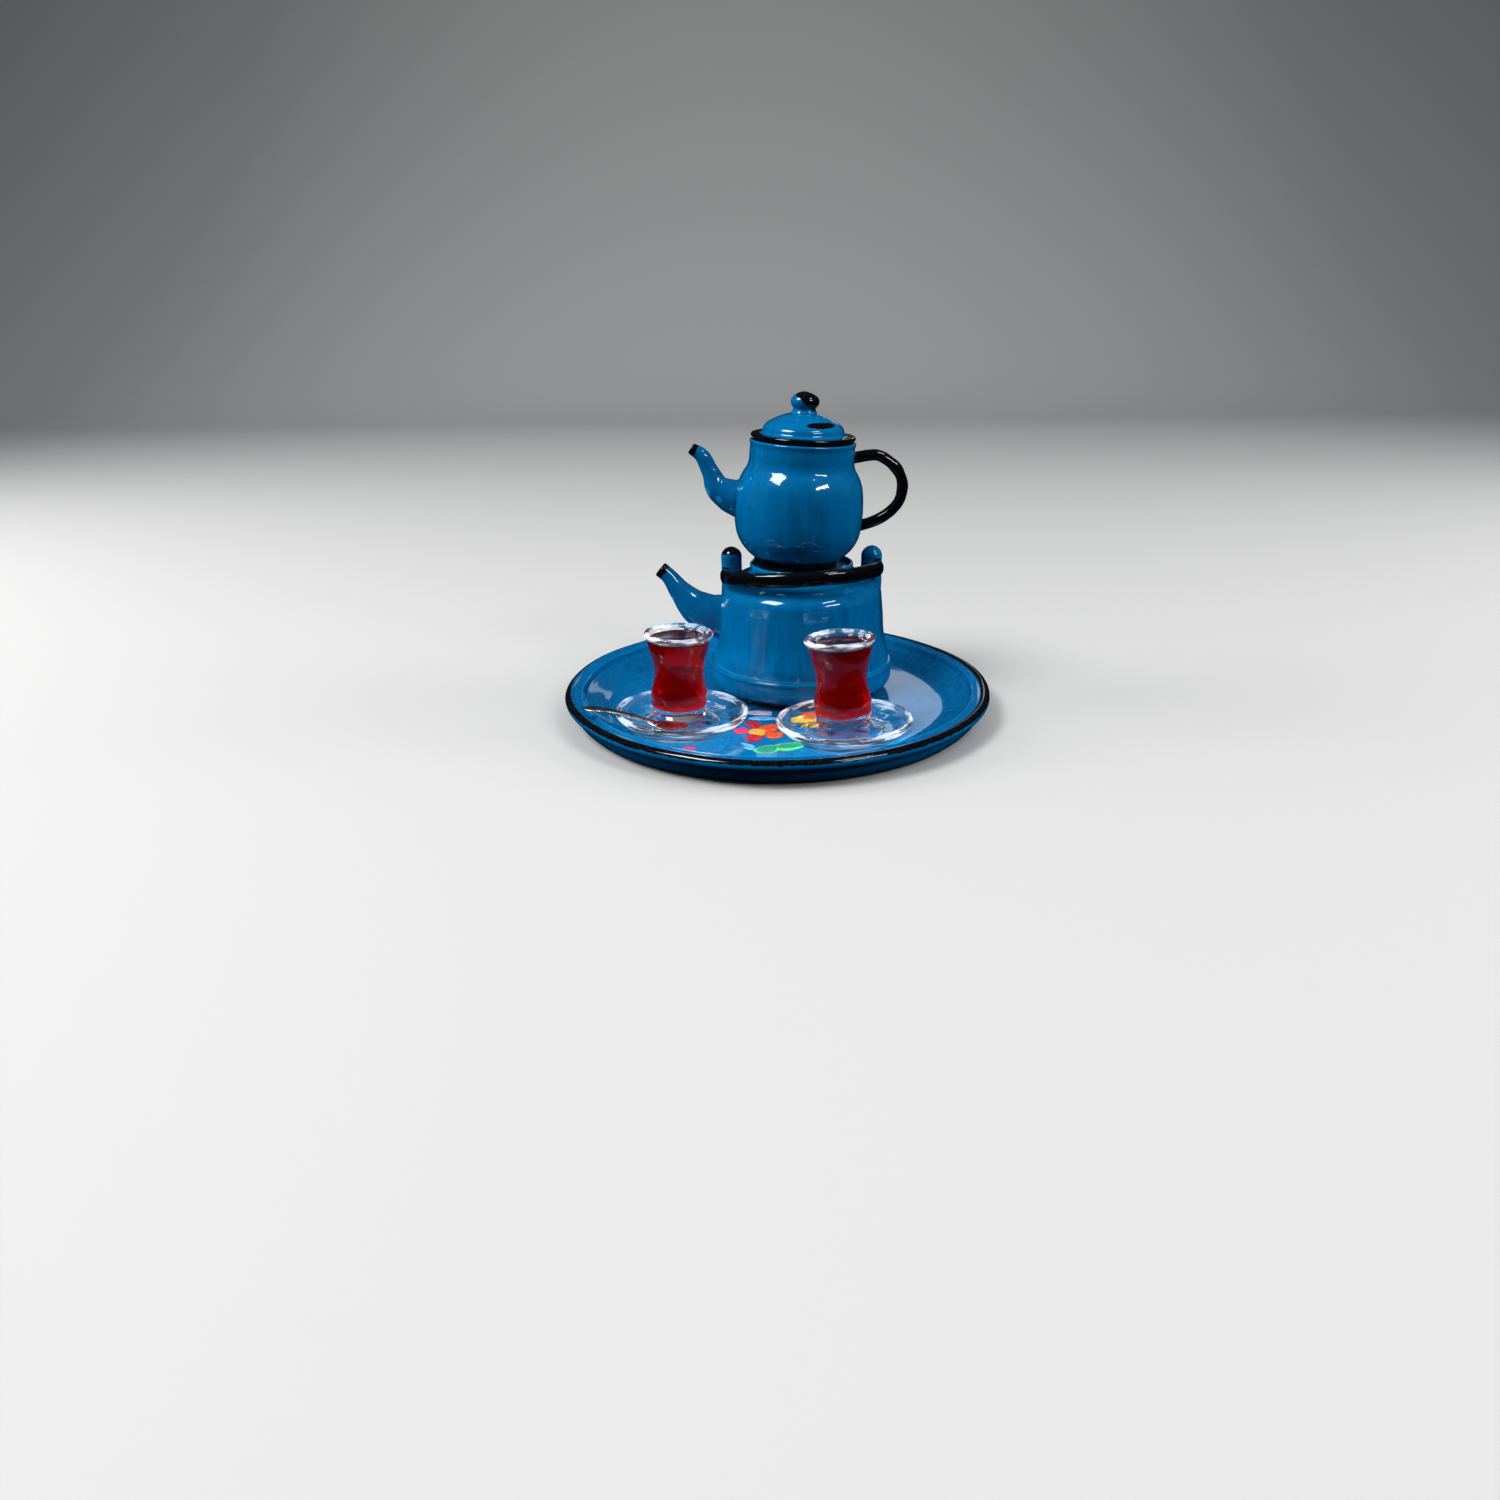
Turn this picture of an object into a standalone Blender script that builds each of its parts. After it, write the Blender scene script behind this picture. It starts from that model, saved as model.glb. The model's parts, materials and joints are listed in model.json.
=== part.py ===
"""Miniature enamelled tea set: round tray, stacked kettle and teapot, two glasses, spoon.

Lengths in this file are millimetres and are turned into metres when a mesh is made.
The origin is the centre of the tray's underside, +Z is up and -Y is the front.
"""
import math

import bmesh
import bpy
from mathutils import Matrix, Vector

MM = 0.001
GAP = 0.05

# Tray
TRAY_RADIUS = 35.0
TRAY_RIM_TOP = 4.45
TRAY_ROLL_RADIUS = 0.82
TRAY_FLOOR_RADIUS = 26.8
TRAY_FLOOR = 1.3

# Kettle
KETTLE_X = 4.2
KETTLE_Y = 7.5
KETTLE_FOOT_RADIUS = 13.45
KETTLE_BAND_RADIUS = 15.4
KETTLE_SEAM = 6.4
COLLAR_RADIUS = 8.6
COLLAR_BORE = 8.05
COLLAR_TOP = 22.9
SEAT_HEIGHT = 22.15
KETTLE_SPOUT_BORE_HEIGHT = 13.6

# Kettle handle and the lugs it swings on
LUG_OFFSET = 11.67
LUG_RADIUS = 1.73
LUG_TOP = 25.5
LUG_ROOT = 17.5
BAIL_RADIUS = 12.66
BAIL_WIDTH = 1.75
BAIL_DEPTH = 2.4
BAIL_STRAIGHT = 2.2
BAIL_PIVOT_HEIGHT = 21.5
BAIL_FOLD_DEG = 6.7
BAIL_SKEW_DEG = 2.8
TONGUE_OFFSET = 12.55
TONGUE_WIDTH = 0.8
TONGUE_RADIUS = 0.9
SLOT_WIDTH = 1.0
SLOT_HEIGHT = 2.45
PIN_RADIUS = 0.34
PIN_BORE = 0.42

# Teapot, which leans a little in the collar of the kettle
TEAPOT_X = 3.25
TEAPOT_LEAN_DEG = 3.2
TEAPOT_FOOT_RADIUS = 6.95
TEAPOT_NECK_BORE = 7.65
FOOT_TOP = 1.2
LID_TOP = 24.3
KNOB_CENTRE = 26.0
KNOB_RADIUS = 2.28
KNOB_HALF_HEIGHT = 1.5
TEAPOT_SPOUT_BORE_HEIGHT = 10.6

# Tea glasses and saucers
GLASS_RIM_RADIUS = 5.34
GLASS_HEIGHT = 13.8
GLASS_FOOT_RADIUS = 4.15
SAUCER_RADIUS = 10.4
SAUCER_FOOT = 8.3
SAUCER_HEIGHT = 2.9
SAUCER_WELL = 1.15
LEFT_SAUCER = (-14.95, -13.0)
RIGHT_SAUCER = (10.3, -17.8)

# Spoon, from the tip of its bowl along its handle
SPOON_BOWL = (-14.3, -18.8)
SPOON_HEADING_DEG = 169.5

KETTLE_SIDES = 36
TEAPOT_SIDES = 30


# ---------------------------------------------------------------- basics

def clear_scene():
    for old in list(bpy.data.objects):
        bpy.data.objects.remove(old, do_unlink=True)


def material(name, colour, roughness, metallic=0.0, transmission=0.0):
    mat = bpy.data.materials.new(name)
    mat.use_nodes = True
    shader = mat.node_tree.nodes["Principled BSDF"]
    shader.inputs["Base Color"].default_value = (*colour, 1.0)
    shader.inputs["Roughness"].default_value = roughness
    shader.inputs["Metallic"].default_value = metallic
    shader.inputs["Transmission Weight"].default_value = transmission
    mat.diffuse_color = (*colour, 1.0)
    return mat


def frame_at(name, x, y, z, rotation=None):
    """An empty that holds the pieces of one assembly; it stands on the assembly's axis."""
    empty = bpy.data.objects.new(name, None)
    bpy.context.scene.collection.objects.link(empty)
    matrix = Matrix.Translation(Vector((x, y, z)) * MM)
    if rotation is not None:
        matrix = matrix @ rotation
    empty.matrix_world = matrix
    return empty


def finish_mesh(name, bm, mat, parent=None, sharp_deg=35.0):
    """Scale a millimetre bmesh to metres, face it outwards and make it an object."""
    bmesh.ops.scale(bm, vec=(MM, MM, MM), verts=bm.verts)
    bmesh.ops.recalc_face_normals(bm, faces=bm.faces)
    if bm.calc_volume(signed=True) < 0.0:
        bmesh.ops.reverse_faces(bm, faces=bm.faces)
    mesh = bpy.data.meshes.new(name)
    bm.to_mesh(mesh)
    bm.free()
    mesh.shade_smooth()
    mesh.set_sharp_from_angle(angle=math.radians(sharp_deg))
    obj = bpy.data.objects.new(name, mesh)
    bpy.context.scene.collection.objects.link(obj)
    mesh.materials.append(mat)
    if parent is not None:
        obj.parent = parent
        obj.matrix_local = Matrix.Identity(4)
    return obj


def revolve(outline, sides):
    """Spin a (radius, height) outline about Z; one that starts off the axis is a closed ring."""
    bm = bmesh.new()
    verts = [bm.verts.new((r, 0.0, z)) for r, z in outline]
    edges = [bm.edges.new(pair) for pair in zip(verts, verts[1:])]
    if outline[0][0] > 0.0:
        edges.append(bm.edges.new((verts[-1], verts[0])))
    bmesh.ops.spin(bm, geom=verts + edges, cent=(0, 0, 0), axis=(0, 0, 1),
                   angle=math.tau, steps=sides, use_merge=True)
    bmesh.ops.remove_doubles(bm, verts=bm.verts, dist=1e-4)
    return bm


def turned(name, outline, mat, sides, parent=None):
    return finish_mesh(name, revolve(outline, sides), mat, parent)


def arc(cx, cz, radius, start_deg, end_deg, steps):
    """Points of a circular arc in the (radius, height) plane."""
    points = []
    for i in range(steps + 1):
        angle = math.radians(start_deg + (end_deg - start_deg) * i / steps)
        points.append((cx + radius * math.cos(angle), cz + radius * math.sin(angle)))
    return points


def smooth(points, per_span):
    """A Catmull-Rom curve through the points, with per_span pieces between neighbours."""
    vectors = [Vector(p) for p in points]
    padded = [2 * vectors[0] - vectors[1]] + vectors + [2 * vectors[-1] - vectors[-2]]
    curve = []
    for a, b, c, d in zip(padded, padded[1:], padded[2:], padded[3:]):
        for i in range(per_span):
            t = i / per_span
            curve.append(0.5 * (2 * b + (c - a) * t + (2 * a - 5 * b + 4 * c - d) * t * t
                                + (3 * b - a - 3 * c + d) * t ** 3))
    curve.append(vectors[-1])
    return curve


def shifted(outline, offset):
    """The open outline moved sideways by offset, to its right as it runs."""
    moved = []
    last = len(outline) - 1
    for i, (r, z) in enumerate(outline):
        before = outline[max(i - 1, 0)]
        after = outline[min(i + 1, last)]
        run = Vector((after[0] - before[0], after[1] - before[1])).normalized()
        moved.append((r + run.y * offset, z - run.x * offset))
    return moved


def swept(stations, sides):
    """Skin of rings. A station is (centre, direction, side half-size, up half-size)."""
    bm = bmesh.new()
    rings = []
    for centre, direction, half_side, half_up in stations:
        side = Vector((0, 1, 0)) if abs(direction.y) < 0.9 else Vector((0, 0, 1))
        side = (side - direction * side.dot(direction)).normalized()
        up = direction.cross(side)
        ring = []
        for k in range(sides):
            angle = math.tau * (k + 0.5) / sides
            offset = side * half_side * math.cos(angle) + up * half_up * math.sin(angle)
            ring.append(bm.verts.new(centre + offset))
        rings.append(ring)
    for first, second in zip(rings, rings[1:]):
        for k in range(sides):
            n = (k + 1) % sides
            bm.faces.new((first[k], first[n], second[n], second[k]))
    bm.faces.new(rings[0][::-1])
    bm.faces.new(rings[-1])
    return bm


def cutter(name, bm, parent=None):
    """A closed shape that only cuts: kept out of renders and drawn as wire."""
    obj = finish_mesh(name, bm, MATERIALS["cutter"], parent)
    obj.hide_render = True
    obj.display_type = "WIRE"
    return obj


def cut(obj, tool):
    modifier = obj.modifiers.new("cut_" + tool.name, "BOOLEAN")
    modifier.operation = "DIFFERENCE"
    modifier.solver = "EXACT"
    modifier.object = tool


def cylinder_x(radius, x0, x1, z, sides, y=0.0):
    """A round bar along X, as a bmesh."""
    bm = bmesh.new()
    turn = Matrix.Rotation(math.radians(90), 4, "Y")
    place = Matrix.Translation(((x0 + x1) / 2, y, z)) @ turn
    bmesh.ops.create_cone(bm, cap_ends=True, segments=sides, radius1=radius, radius2=radius,
                          depth=abs(x1 - x0), matrix=place)
    return bm


def box(x0, x1, y0, y1, z0, z1):
    bm = bmesh.new()
    size = Matrix.Diagonal((x1 - x0, y1 - y0, z1 - z0, 1))
    place = Matrix.Translation(((x0 + x1) / 2, (y0 + y1) / 2, (z0 + z1) / 2))
    bmesh.ops.create_cube(bm, size=1.0, matrix=place @ size)
    return bm


def centre_line(points, per_span):
    """Sample a line of (x, z, half_side, half_up) knots as stations in the XZ plane."""
    knots = smooth(points, per_span)
    stations = []
    last = len(knots) - 1
    for i, knot in enumerate(knots):
        run = knots[min(i + 1, last)] - knots[max(i - 1, 0)]
        direction = Vector((run[0], 0.0, run[1])).normalized()
        stations.append((Vector((knot[0], 0.0, knot[1])), direction, knot[2], knot[3]))
    return stations


# ---------------------------------------------------------------- outlines

def kettle_wall_outline():
    """Outside of the kettle's body, from the seam over the shoulder to the collar."""
    wall = [(14.95, KETTLE_SEAM + 0.1), (14.8, 8.0), (14.35, 9.4), (13.98, 11.2), (13.76, 14.4),
            (13.5, 17.0)]
    shoulder = [(13.36, 18.2), (12.9, 19.05), (12.0, 19.85), (10.7, 20.6), (9.3, 21.2),
                (COLLAR_RADIUS, 21.6)]
    return wall + shoulder


def teapot_wall_outline():
    """Outside of the teapot's body above its seat, from the foot to the neck's lip."""
    return [(7.1, FOOT_TOP), (8.25, 2.15), (9.3, 3.4), (10.05, 4.9), (10.42, 6.9), (10.5, 9.0),
            (10.4, 11.2), (10.05, 13.3), (9.4, 14.8), (8.75, 15.8), (8.52, 16.6), (8.47, 18.0),
            (8.4, 19.8)]


# ---------------------------------------------------------------- tray

def make_tray():
    underside = [(0.0, 0.0), (31.6, 0.0), (32.7, 0.35), (33.5, 1.4), (34.1, 2.75)]
    roll = arc(TRAY_RADIUS - TRAY_ROLL_RADIUS, TRAY_RIM_TOP - TRAY_ROLL_RADIUS,
               TRAY_ROLL_RADIUS, -50, 140, 5)
    inside = [(33.2, 4.15), (32.2, 3.88), (31.5, 3.5), (28.6, 1.98), (27.7, 1.5),
              (TRAY_FLOOR_RADIUS, TRAY_FLOOR), (0.0, TRAY_FLOOR)]
    return turned("tray", underside + roll + inside, MATERIALS["blue"], 52)


# ---------------------------------------------------------------- kettle

def make_kettle_base(frame):
    outside = [(12.6, 2.25), (14.3, 2.3), (15.1, 2.95), (KETTLE_BAND_RADIUS, 3.9),
               (KETTLE_BAND_RADIUS, 5.0), (15.3, 5.8), (15.05, KETTLE_SEAM)]
    inside = [(14.3, KETTLE_SEAM), (14.3, 3.9), (13.6, 3.2), (0.0, 3.0)]
    return turned("kettle_base", [(0.0, 2.25)] + outside + inside, MATERIALS["blue"],
                  KETTLE_SIDES, frame)


def make_kettle_foot(frame):
    outline = [(12.1, 2.2), (12.1, 1.5), (12.3, TRAY_FLOOR + GAP), (13.0, TRAY_FLOOR + GAP),
               (KETTLE_FOOT_RADIUS - 0.1, 1.65), (KETTLE_FOOT_RADIUS, 2.2)]
    return turned("kettle_foot_ring", outline, MATERIALS["black"], KETTLE_SIDES, frame)


def kettle_bore_cutter(frame):
    bore = cylinder_x(2.1, -16.0, -11.0, KETTLE_SPOUT_BORE_HEIGHT, 16)
    return cutter("kettle_bore_cutter", bore, frame)


def make_kettle_body(frame):
    outside = kettle_wall_outline()
    collar = [(COLLAR_RADIUS, COLLAR_TOP - 0.3), (COLLAR_RADIUS - 0.15, COLLAR_TOP),
              (COLLAR_BORE + 0.1, COLLAR_TOP), (COLLAR_BORE, COLLAR_TOP - 0.25),
              (COLLAR_BORE, SEAT_HEIGHT), (5.6, SEAT_HEIGHT), (5.6, SEAT_HEIGHT - 0.6)]
    inner = [(9.0, 20.4), (10.5, 19.7), (12.0, 18.7), (12.7, 17.6), (13.0, 14.4),
             (13.25, 11.2), (13.65, 9.2), (14.0, KETTLE_SEAM + GAP)]
    lower_edge = [(14.9, KETTLE_SEAM + GAP)]
    body = turned("kettle_body", outside + collar + inner + lower_edge, MATERIALS["blue"],
                  KETTLE_SIDES, frame)
    cut(body, kettle_bore_cutter(frame))
    return body


def wall_cutter(name, outline, floor, sides, frame):
    """The solid inside a wall, GAP larger, which trims what butts against the wall."""
    grown = shifted(outline, GAP)
    rim = grown[-1][1]
    solid = [(0.0, floor), (grown[0][0], floor)] + grown + [(0.0, rim)]
    return cutter(name, revolve(solid, sides), frame)


def make_spout(name, knots, bore, wall_tool, frame):
    """A tapered bent tube: a skin along the knots, bored along the same line."""
    tube = finish_mesh(name, swept(centre_line(knots, 2), 14), MATERIALS["blue"], frame)
    inner = [(x, z, side - bore, up - bore) for x, z, side, up in knots]
    first = inner[0]
    second = inner[1]
    reach = 0.4
    ahead = (first[0] + (first[0] - second[0]) * reach, first[1] + (first[1] - second[1]) * reach)
    inner = [(ahead[0], ahead[1], first[2], first[3])] + inner
    tool = cutter(name + "_bore_cutter", swept(centre_line(inner, 2), 10), frame)
    cut(tube, tool)
    cut(tube, wall_tool)
    return tube


def make_kettle_spout(frame, wall_tool):
    """Knots run from the mouth to the root: x, z, half width, half height."""
    knots = [(-23.6, 21.75, 1.15, 1.3), (-22.3, 20.6, 1.25, 1.35), (-20.4, 18.0, 1.75, 1.9),
             (-18.0, 15.4, 2.5, 2.9), (-15.6, 13.9, 3.0, 3.5), (-12.5, 13.5, 3.2, 3.7)]
    return make_spout("kettle_spout", knots, 0.5, wall_tool, frame)


def lug_mesh(side):
    """A round post with a ball top, before its slot and pin hole are cut."""
    ball_centre = LUG_TOP - LUG_RADIUS
    outline = [(0.0, LUG_ROOT), (LUG_RADIUS, LUG_ROOT), (LUG_RADIUS, ball_centre)]
    outline += arc(0.0, ball_centre, LUG_RADIUS, 18, 72, 3)
    outline.append((0.0, LUG_TOP))
    bm = revolve(outline, 16)
    bmesh.ops.translate(bm, vec=(side * LUG_OFFSET, 0, 0), verts=bm.verts)
    return bm


def pivot_height(side):
    """The handle hangs slightly askew, so the pin on one side is higher."""
    return BAIL_PIVOT_HEIGHT + side * TONGUE_OFFSET * math.sin(math.radians(BAIL_SKEW_DEG))


def pivot_bar(radius, x0, x1):
    """A round bar along the handle's own skewed axis, in the kettle's frame."""
    bm = cylinder_x(radius, x0, x1, 0.0, 12)
    skew = Matrix.Rotation(math.radians(-BAIL_SKEW_DEG), 4, "Y")
    place = Matrix.Translation((0.0, 0.0, BAIL_PIVOT_HEIGHT)) @ skew
    bmesh.ops.transform(bm, matrix=place, verts=bm.verts)
    return bm


def make_lug(name, side, frame, wall_tool):
    height = pivot_height(side)
    lug = finish_mesh(name, lug_mesh(side), MATERIALS["blue"], frame)
    near = side * (TONGUE_OFFSET - SLOT_WIDTH / 2)
    far = side * (TONGUE_OFFSET + SLOT_WIDTH / 2)
    floor = height - TONGUE_RADIUS - 0.1
    slot = box(min(near, far), max(near, far), -3, 3, floor, floor + SLOT_HEIGHT)
    cut(lug, cutter(name + "_slot_cutter", slot, frame))
    bore = pivot_bar(PIN_BORE, side * (LUG_OFFSET - 0.5), side * (LUG_OFFSET + 3.0))
    cut(lug, cutter(name + "_pin_cutter", bore, frame))
    cut(lug, wall_tool)
    return lug


def make_pin(name, side, frame):
    """A short rivet across the slot; its head is flush with the lug."""
    bm = pivot_bar(PIN_RADIUS, side * (LUG_OFFSET - 0.45), side * (LUG_OFFSET + LUG_RADIUS - 0.06))
    return finish_mesh(name, bm, MATERIALS["steel"], frame)


def bail_stations():
    """Half ring of bar in the handle's own plane: X across, -Y to the crown."""
    stations = []
    depth = BAIL_RADIUS - BAIL_STRAIGHT
    steps = 30
    for i in range(steps + 1):
        angle = math.pi * i / steps
        x = -BAIL_RADIUS * math.cos(angle)
        y = -BAIL_STRAIGHT - depth * math.sin(angle)
        direction = Vector((math.sin(angle) * BAIL_RADIUS, -depth * math.cos(angle), 0)).normalized()
        stations.append((Vector((x, y, 0.0)), direction))
    return stations


def make_bail():
    """The handle's bar with a flat tongue at each end, bored for the pins."""
    bm = bmesh.new()
    rings = []
    sides = 12
    for centre, direction in bail_stations():
        side = Vector((direction.y, -direction.x, 0.0))
        up = Vector((0, 0, 1))
        ring = []
        for k in range(sides):
            angle = math.tau * (k + 0.5) / sides
            across = math.copysign(abs(math.cos(angle)) ** 0.8, math.cos(angle))
            high = math.copysign(abs(math.sin(angle)) ** 0.8, math.sin(angle))
            ring.append(bm.verts.new(centre + side * across * BAIL_WIDTH / 2
                                     + up * high * BAIL_DEPTH / 2))
        rings.append(ring)
    for first, second in zip(rings, rings[1:]):
        for k in range(sides):
            n = (k + 1) % sides
            bm.faces.new((first[k], first[n], second[n], second[k]))
    bm.faces.new(rings[0][::-1])
    bm.faces.new(rings[-1])
    rest = (Matrix.Rotation(math.radians(-BAIL_SKEW_DEG), 4, "Y")
            @ Matrix.Rotation(math.radians(-BAIL_FOLD_DEG), 4, "X"))
    frame = frame_at("bail_axis", KETTLE_X, KETTLE_Y, BAIL_PIVOT_HEIGHT, rest)
    bail = finish_mesh("bail_handle", bm, MATERIALS["black"], frame)
    for word, side in (("left", -1), ("right", 1)):
        x0 = side * TONGUE_OFFSET - TONGUE_WIDTH / 2
        x1 = side * TONGUE_OFFSET + TONGUE_WIDTH / 2
        arm = cutter("bail_tongue_" + word, tongue_mesh(x0, x1), frame)
        join = bail.modifiers.new("join_" + word, "BOOLEAN")
        join.operation = "UNION"
        join.solver = "EXACT"
        join.object = arm
        bore = cylinder_x(PIN_BORE, x0 - 1, x1 + 1, 0.0, 12)
        cut(bail, cutter("bail_bore_" + word + "_cutter", bore, frame))
    return bail


def tongue_mesh(x0, x1):
    """A flat eye around the pin, running forwards into the bar."""
    bm = bmesh.new()
    outline = [(-3.0, -TONGUE_RADIUS), (0.0, -TONGUE_RADIUS)]
    outline += arc(0.0, 0.0, TONGUE_RADIUS, -67.5, 67.5, 6)
    outline += [(0.0, TONGUE_RADIUS), (-3.0, TONGUE_RADIUS)]
    near = [bm.verts.new((x0, y, z)) for y, z in outline]
    far = [bm.verts.new((x1, y, z)) for y, z in outline]
    bm.faces.new(near)
    bm.faces.new(far[::-1])
    count = len(outline)
    for k in range(count):
        n = (k + 1) % count
        bm.faces.new((near[n], near[k], far[k], far[n]))
    return bm


# ---------------------------------------------------------------- teapot

def make_teapot_foot(frame):
    outline = [(5.7, 1.15), (5.7, 0.2), (5.9, GAP), (6.7, GAP), (TEAPOT_FOOT_RADIUS, 0.3),
               (TEAPOT_FOOT_RADIUS, 1.15)]
    return turned("teapot_foot_ring", outline, MATERIALS["black"], TEAPOT_SIDES, frame)


def make_teapot_body(frame):
    outside = teapot_wall_outline()
    lip = [(8.1, 20.0), (TEAPOT_NECK_BORE, 19.9)]
    inside = [(TEAPOT_NECK_BORE + 0.05, 16.9), (8.3, 15.4), (9.4, 13.1), (9.85, 9.0),
              (9.5, 5.3), (8.5, 3.3), (6.8, 1.95), (0.0, 1.8)]
    body = turned("teapot_body", [(0.0, FOOT_TOP)] + outside + lip + inside, MATERIALS["blue"],
                  TEAPOT_SIDES, frame)
    bore = cylinder_x(1.4, -12.0, -8.0, TEAPOT_SPOUT_BORE_HEIGHT, 14)
    cut(body, cutter("teapot_bore_cutter", bore, frame))
    return body


def make_teapot_spout(frame, wall_tool):
    knots = [(-17.85, 17.95, 0.85, 0.9), (-16.2, 16.9, 1.1, 1.2), (-14.75, 14.5, 1.3, 1.4),
             (-13.5, 12.1, 1.8, 2.05), (-11.5, 10.7, 2.3, 2.7), (-8.5, 10.3, 2.6, 3.05)]
    return make_spout("teapot_spout", knots, 0.42, wall_tool, frame)


def make_teapot_handle(frame, wall_tool):
    half = 0.9
    path = [(7.4, 17.35), (9.3, 17.85), (12.0, 18.25), (14.5, 17.1), (16.55, 13.5),
            (15.4, 9.9), (13.25, 8.1), (10.6, 7.0), (8.8, 6.6)]
    knots = [(x, z, half, half) for x, z in path]
    handle = finish_mesh("teapot_handle", swept(centre_line(knots, 3), 10),
                         MATERIALS["black"], frame)
    cut(handle, wall_tool)
    return handle


def make_lid(frame):
    rim = [(8.15, 20.33)] + arc(8.1, 20.68, 0.3, -60, 90, 4) + [(6.95, 21.03)]
    dome = [(6.65, 21.28), (6.45, 21.95), (5.85, 22.62), (4.75, 23.25), (3.3, 23.87),
            (2.2, 24.2), (0.75, LID_TOP)]
    under = [(0.75, 23.7), (3.0, 23.35), (5.4, 22.05), (6.2, 20.8), (6.9, 20.0), (6.9, 18.9),
             (7.45, 18.9), (7.45, 20.05), (7.7, 20.18)]
    return turned("lid", rim + dome + under, MATERIALS["blue"], TEAPOT_SIDES, frame)


def make_knob(frame):
    base = LID_TOP + GAP
    neck = [(0.0, 22.7), (0.68, 22.7), (0.68, base), (2.0, base), (1.82, 24.6)]
    squash = KNOB_HALF_HEIGHT / KNOB_RADIUS
    ball = [(r, KNOB_CENTRE + z * squash) for r, z in arc(0.0, 0.0, KNOB_RADIUS, -35, 77, 6)]
    outline = neck + ball + [(0.0, KNOB_CENTRE + KNOB_HALF_HEIGHT)]
    return turned("lid_knob", outline, MATERIALS["blue"], 20, frame)


# ---------------------------------------------------------------- glasses, saucers, spoon

def make_saucer(name, frame):
    outline = [(0.0, 0.3), (5.7, 0.3), (5.9, 0.0), (SAUCER_FOOT - 0.3, 0.0), (SAUCER_FOOT, 0.3),
               (9.5, 1.4), (10.2, 2.1), (SAUCER_RADIUS, 2.5), (10.25, SAUCER_HEIGHT),
               (9.8, SAUCER_HEIGHT), (9.3, 2.3), (8.4, 1.5), (7.5, SAUCER_WELL),
               (0.0, SAUCER_WELL)]
    return turned(name, outline, MATERIALS["glass"], 34, frame)


def make_glass(name, frame):
    """Waisted glass with a thick clear base; local heights start at its foot."""
    outside = [(0.0, 0.0), (3.85, 0.0), (GLASS_FOOT_RADIUS, 0.25), (4.2, 1.0), (4.38, 2.6),
               (4.38, 4.2), (3.95, 6.0), (3.85, 7.3), (4.12, 9.2), (4.7, 11.2), (5.2, 12.9)]
    lip = [(GLASS_RIM_RADIUS, 13.3), (5.2, GLASS_HEIGHT), (4.72, 13.75), (4.48, 13.3)]
    inside = [(4.22, 11.4), (3.65, 9.2), (3.35, 7.3), (3.45, 6.0), (3.87, 4.2), (3.87, 2.8),
              (3.55, 1.9), (0.0, 1.75)]
    return turned(name, outside + lip + inside, MATERIALS["glass"], 24, frame)


def make_tea(name, frame):
    outside = [(0.0, 1.75 + GAP), (3.5, 1.9 + GAP), (3.82, 2.85), (3.82, 4.2), (3.4, 6.0),
               (3.3, 7.3), (3.6, 9.2), (4.15, 11.35), (4.28, 12.2), (0.0, 12.2)]
    return turned(name, outside, MATERIALS["tea"], 24, frame)


def make_spoon():
    """Bowl, then a slim handle with a leaf-shaped end, lofted from flat oval sections."""
    knots = [(-0.6, 3.4, 0.35, 0.12), (0.3, 3.26, 1.1, 0.16), (1.8, 3.2, 1.5, 0.18),
             (3.6, 3.4, 1.15, 0.18), (5.2, 3.85, 0.5, 0.2), (8.2, 4.72, 0.4, 0.22),
             (11.6, 5.27, 0.45, 0.18), (14.2, 5.5, 0.7, 0.16), (15.9, 5.6, 0.35, 0.14)]
    heading = Matrix.Rotation(math.radians(SPOON_HEADING_DEG), 4, "Z")
    frame = frame_at("spoon_axis", SPOON_BOWL[0], SPOON_BOWL[1], 0.0, heading)
    return finish_mesh("spoon", swept(centre_line(knots, 3), 12), MATERIALS["silver"], frame)


def make_service(word, centre, tilt_deg, glass_offset, glass_lean_deg):
    """A saucer whose outer foot stands on the tray's cove, with a full glass on it."""
    outward = Vector((*centre, 0.0)).normalized()
    tip = Matrix.Rotation(math.radians(tilt_deg), 4, Vector((outward.y, -outward.x, 0.0)))
    rise = SAUCER_FOOT * math.sin(math.radians(tilt_deg))
    saucer = frame_at("saucer_axis_" + word, *centre, TRAY_FLOOR + GAP + rise, tip)
    make_saucer("saucer_" + word, saucer)
    lean = Matrix.Rotation(math.radians(glass_lean_deg), 4, "Y")
    foot_rise = GLASS_FOOT_RADIUS * math.sin(math.radians(abs(glass_lean_deg)))
    glass = bpy.data.objects.new("glass_axis_" + word, None)
    bpy.context.scene.collection.objects.link(glass)
    glass.parent = saucer
    place = Vector((*glass_offset, SAUCER_WELL + GAP + foot_rise)) * MM
    glass.matrix_local = Matrix.Translation(place) @ lean
    make_glass("glass_" + word, glass)
    make_tea("tea_" + word, glass)


# ---------------------------------------------------------------- assembly

clear_scene()

MATERIALS = {
    "blue": material("enamel_blue", (0.0, 0.12, 0.37), 0.18),
    "black": material("enamel_black", (0.012, 0.012, 0.014), 0.25),
    "steel": material("pin_steel", (0.5, 0.5, 0.52), 0.35, metallic=1.0),
    "silver": material("spoon_silver", (0.75, 0.74, 0.72), 0.25, metallic=1.0),
    "glass": material("clear_glass", (0.95, 0.98, 0.98), 0.05, transmission=1.0),
    "tea": material("tea_red", (0.35, 0.01, 0.01), 0.1, transmission=0.6),
    "cutter": material("cutter", (1.0, 1.0, 1.0), 0.5),
}

tray = make_tray()

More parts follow.
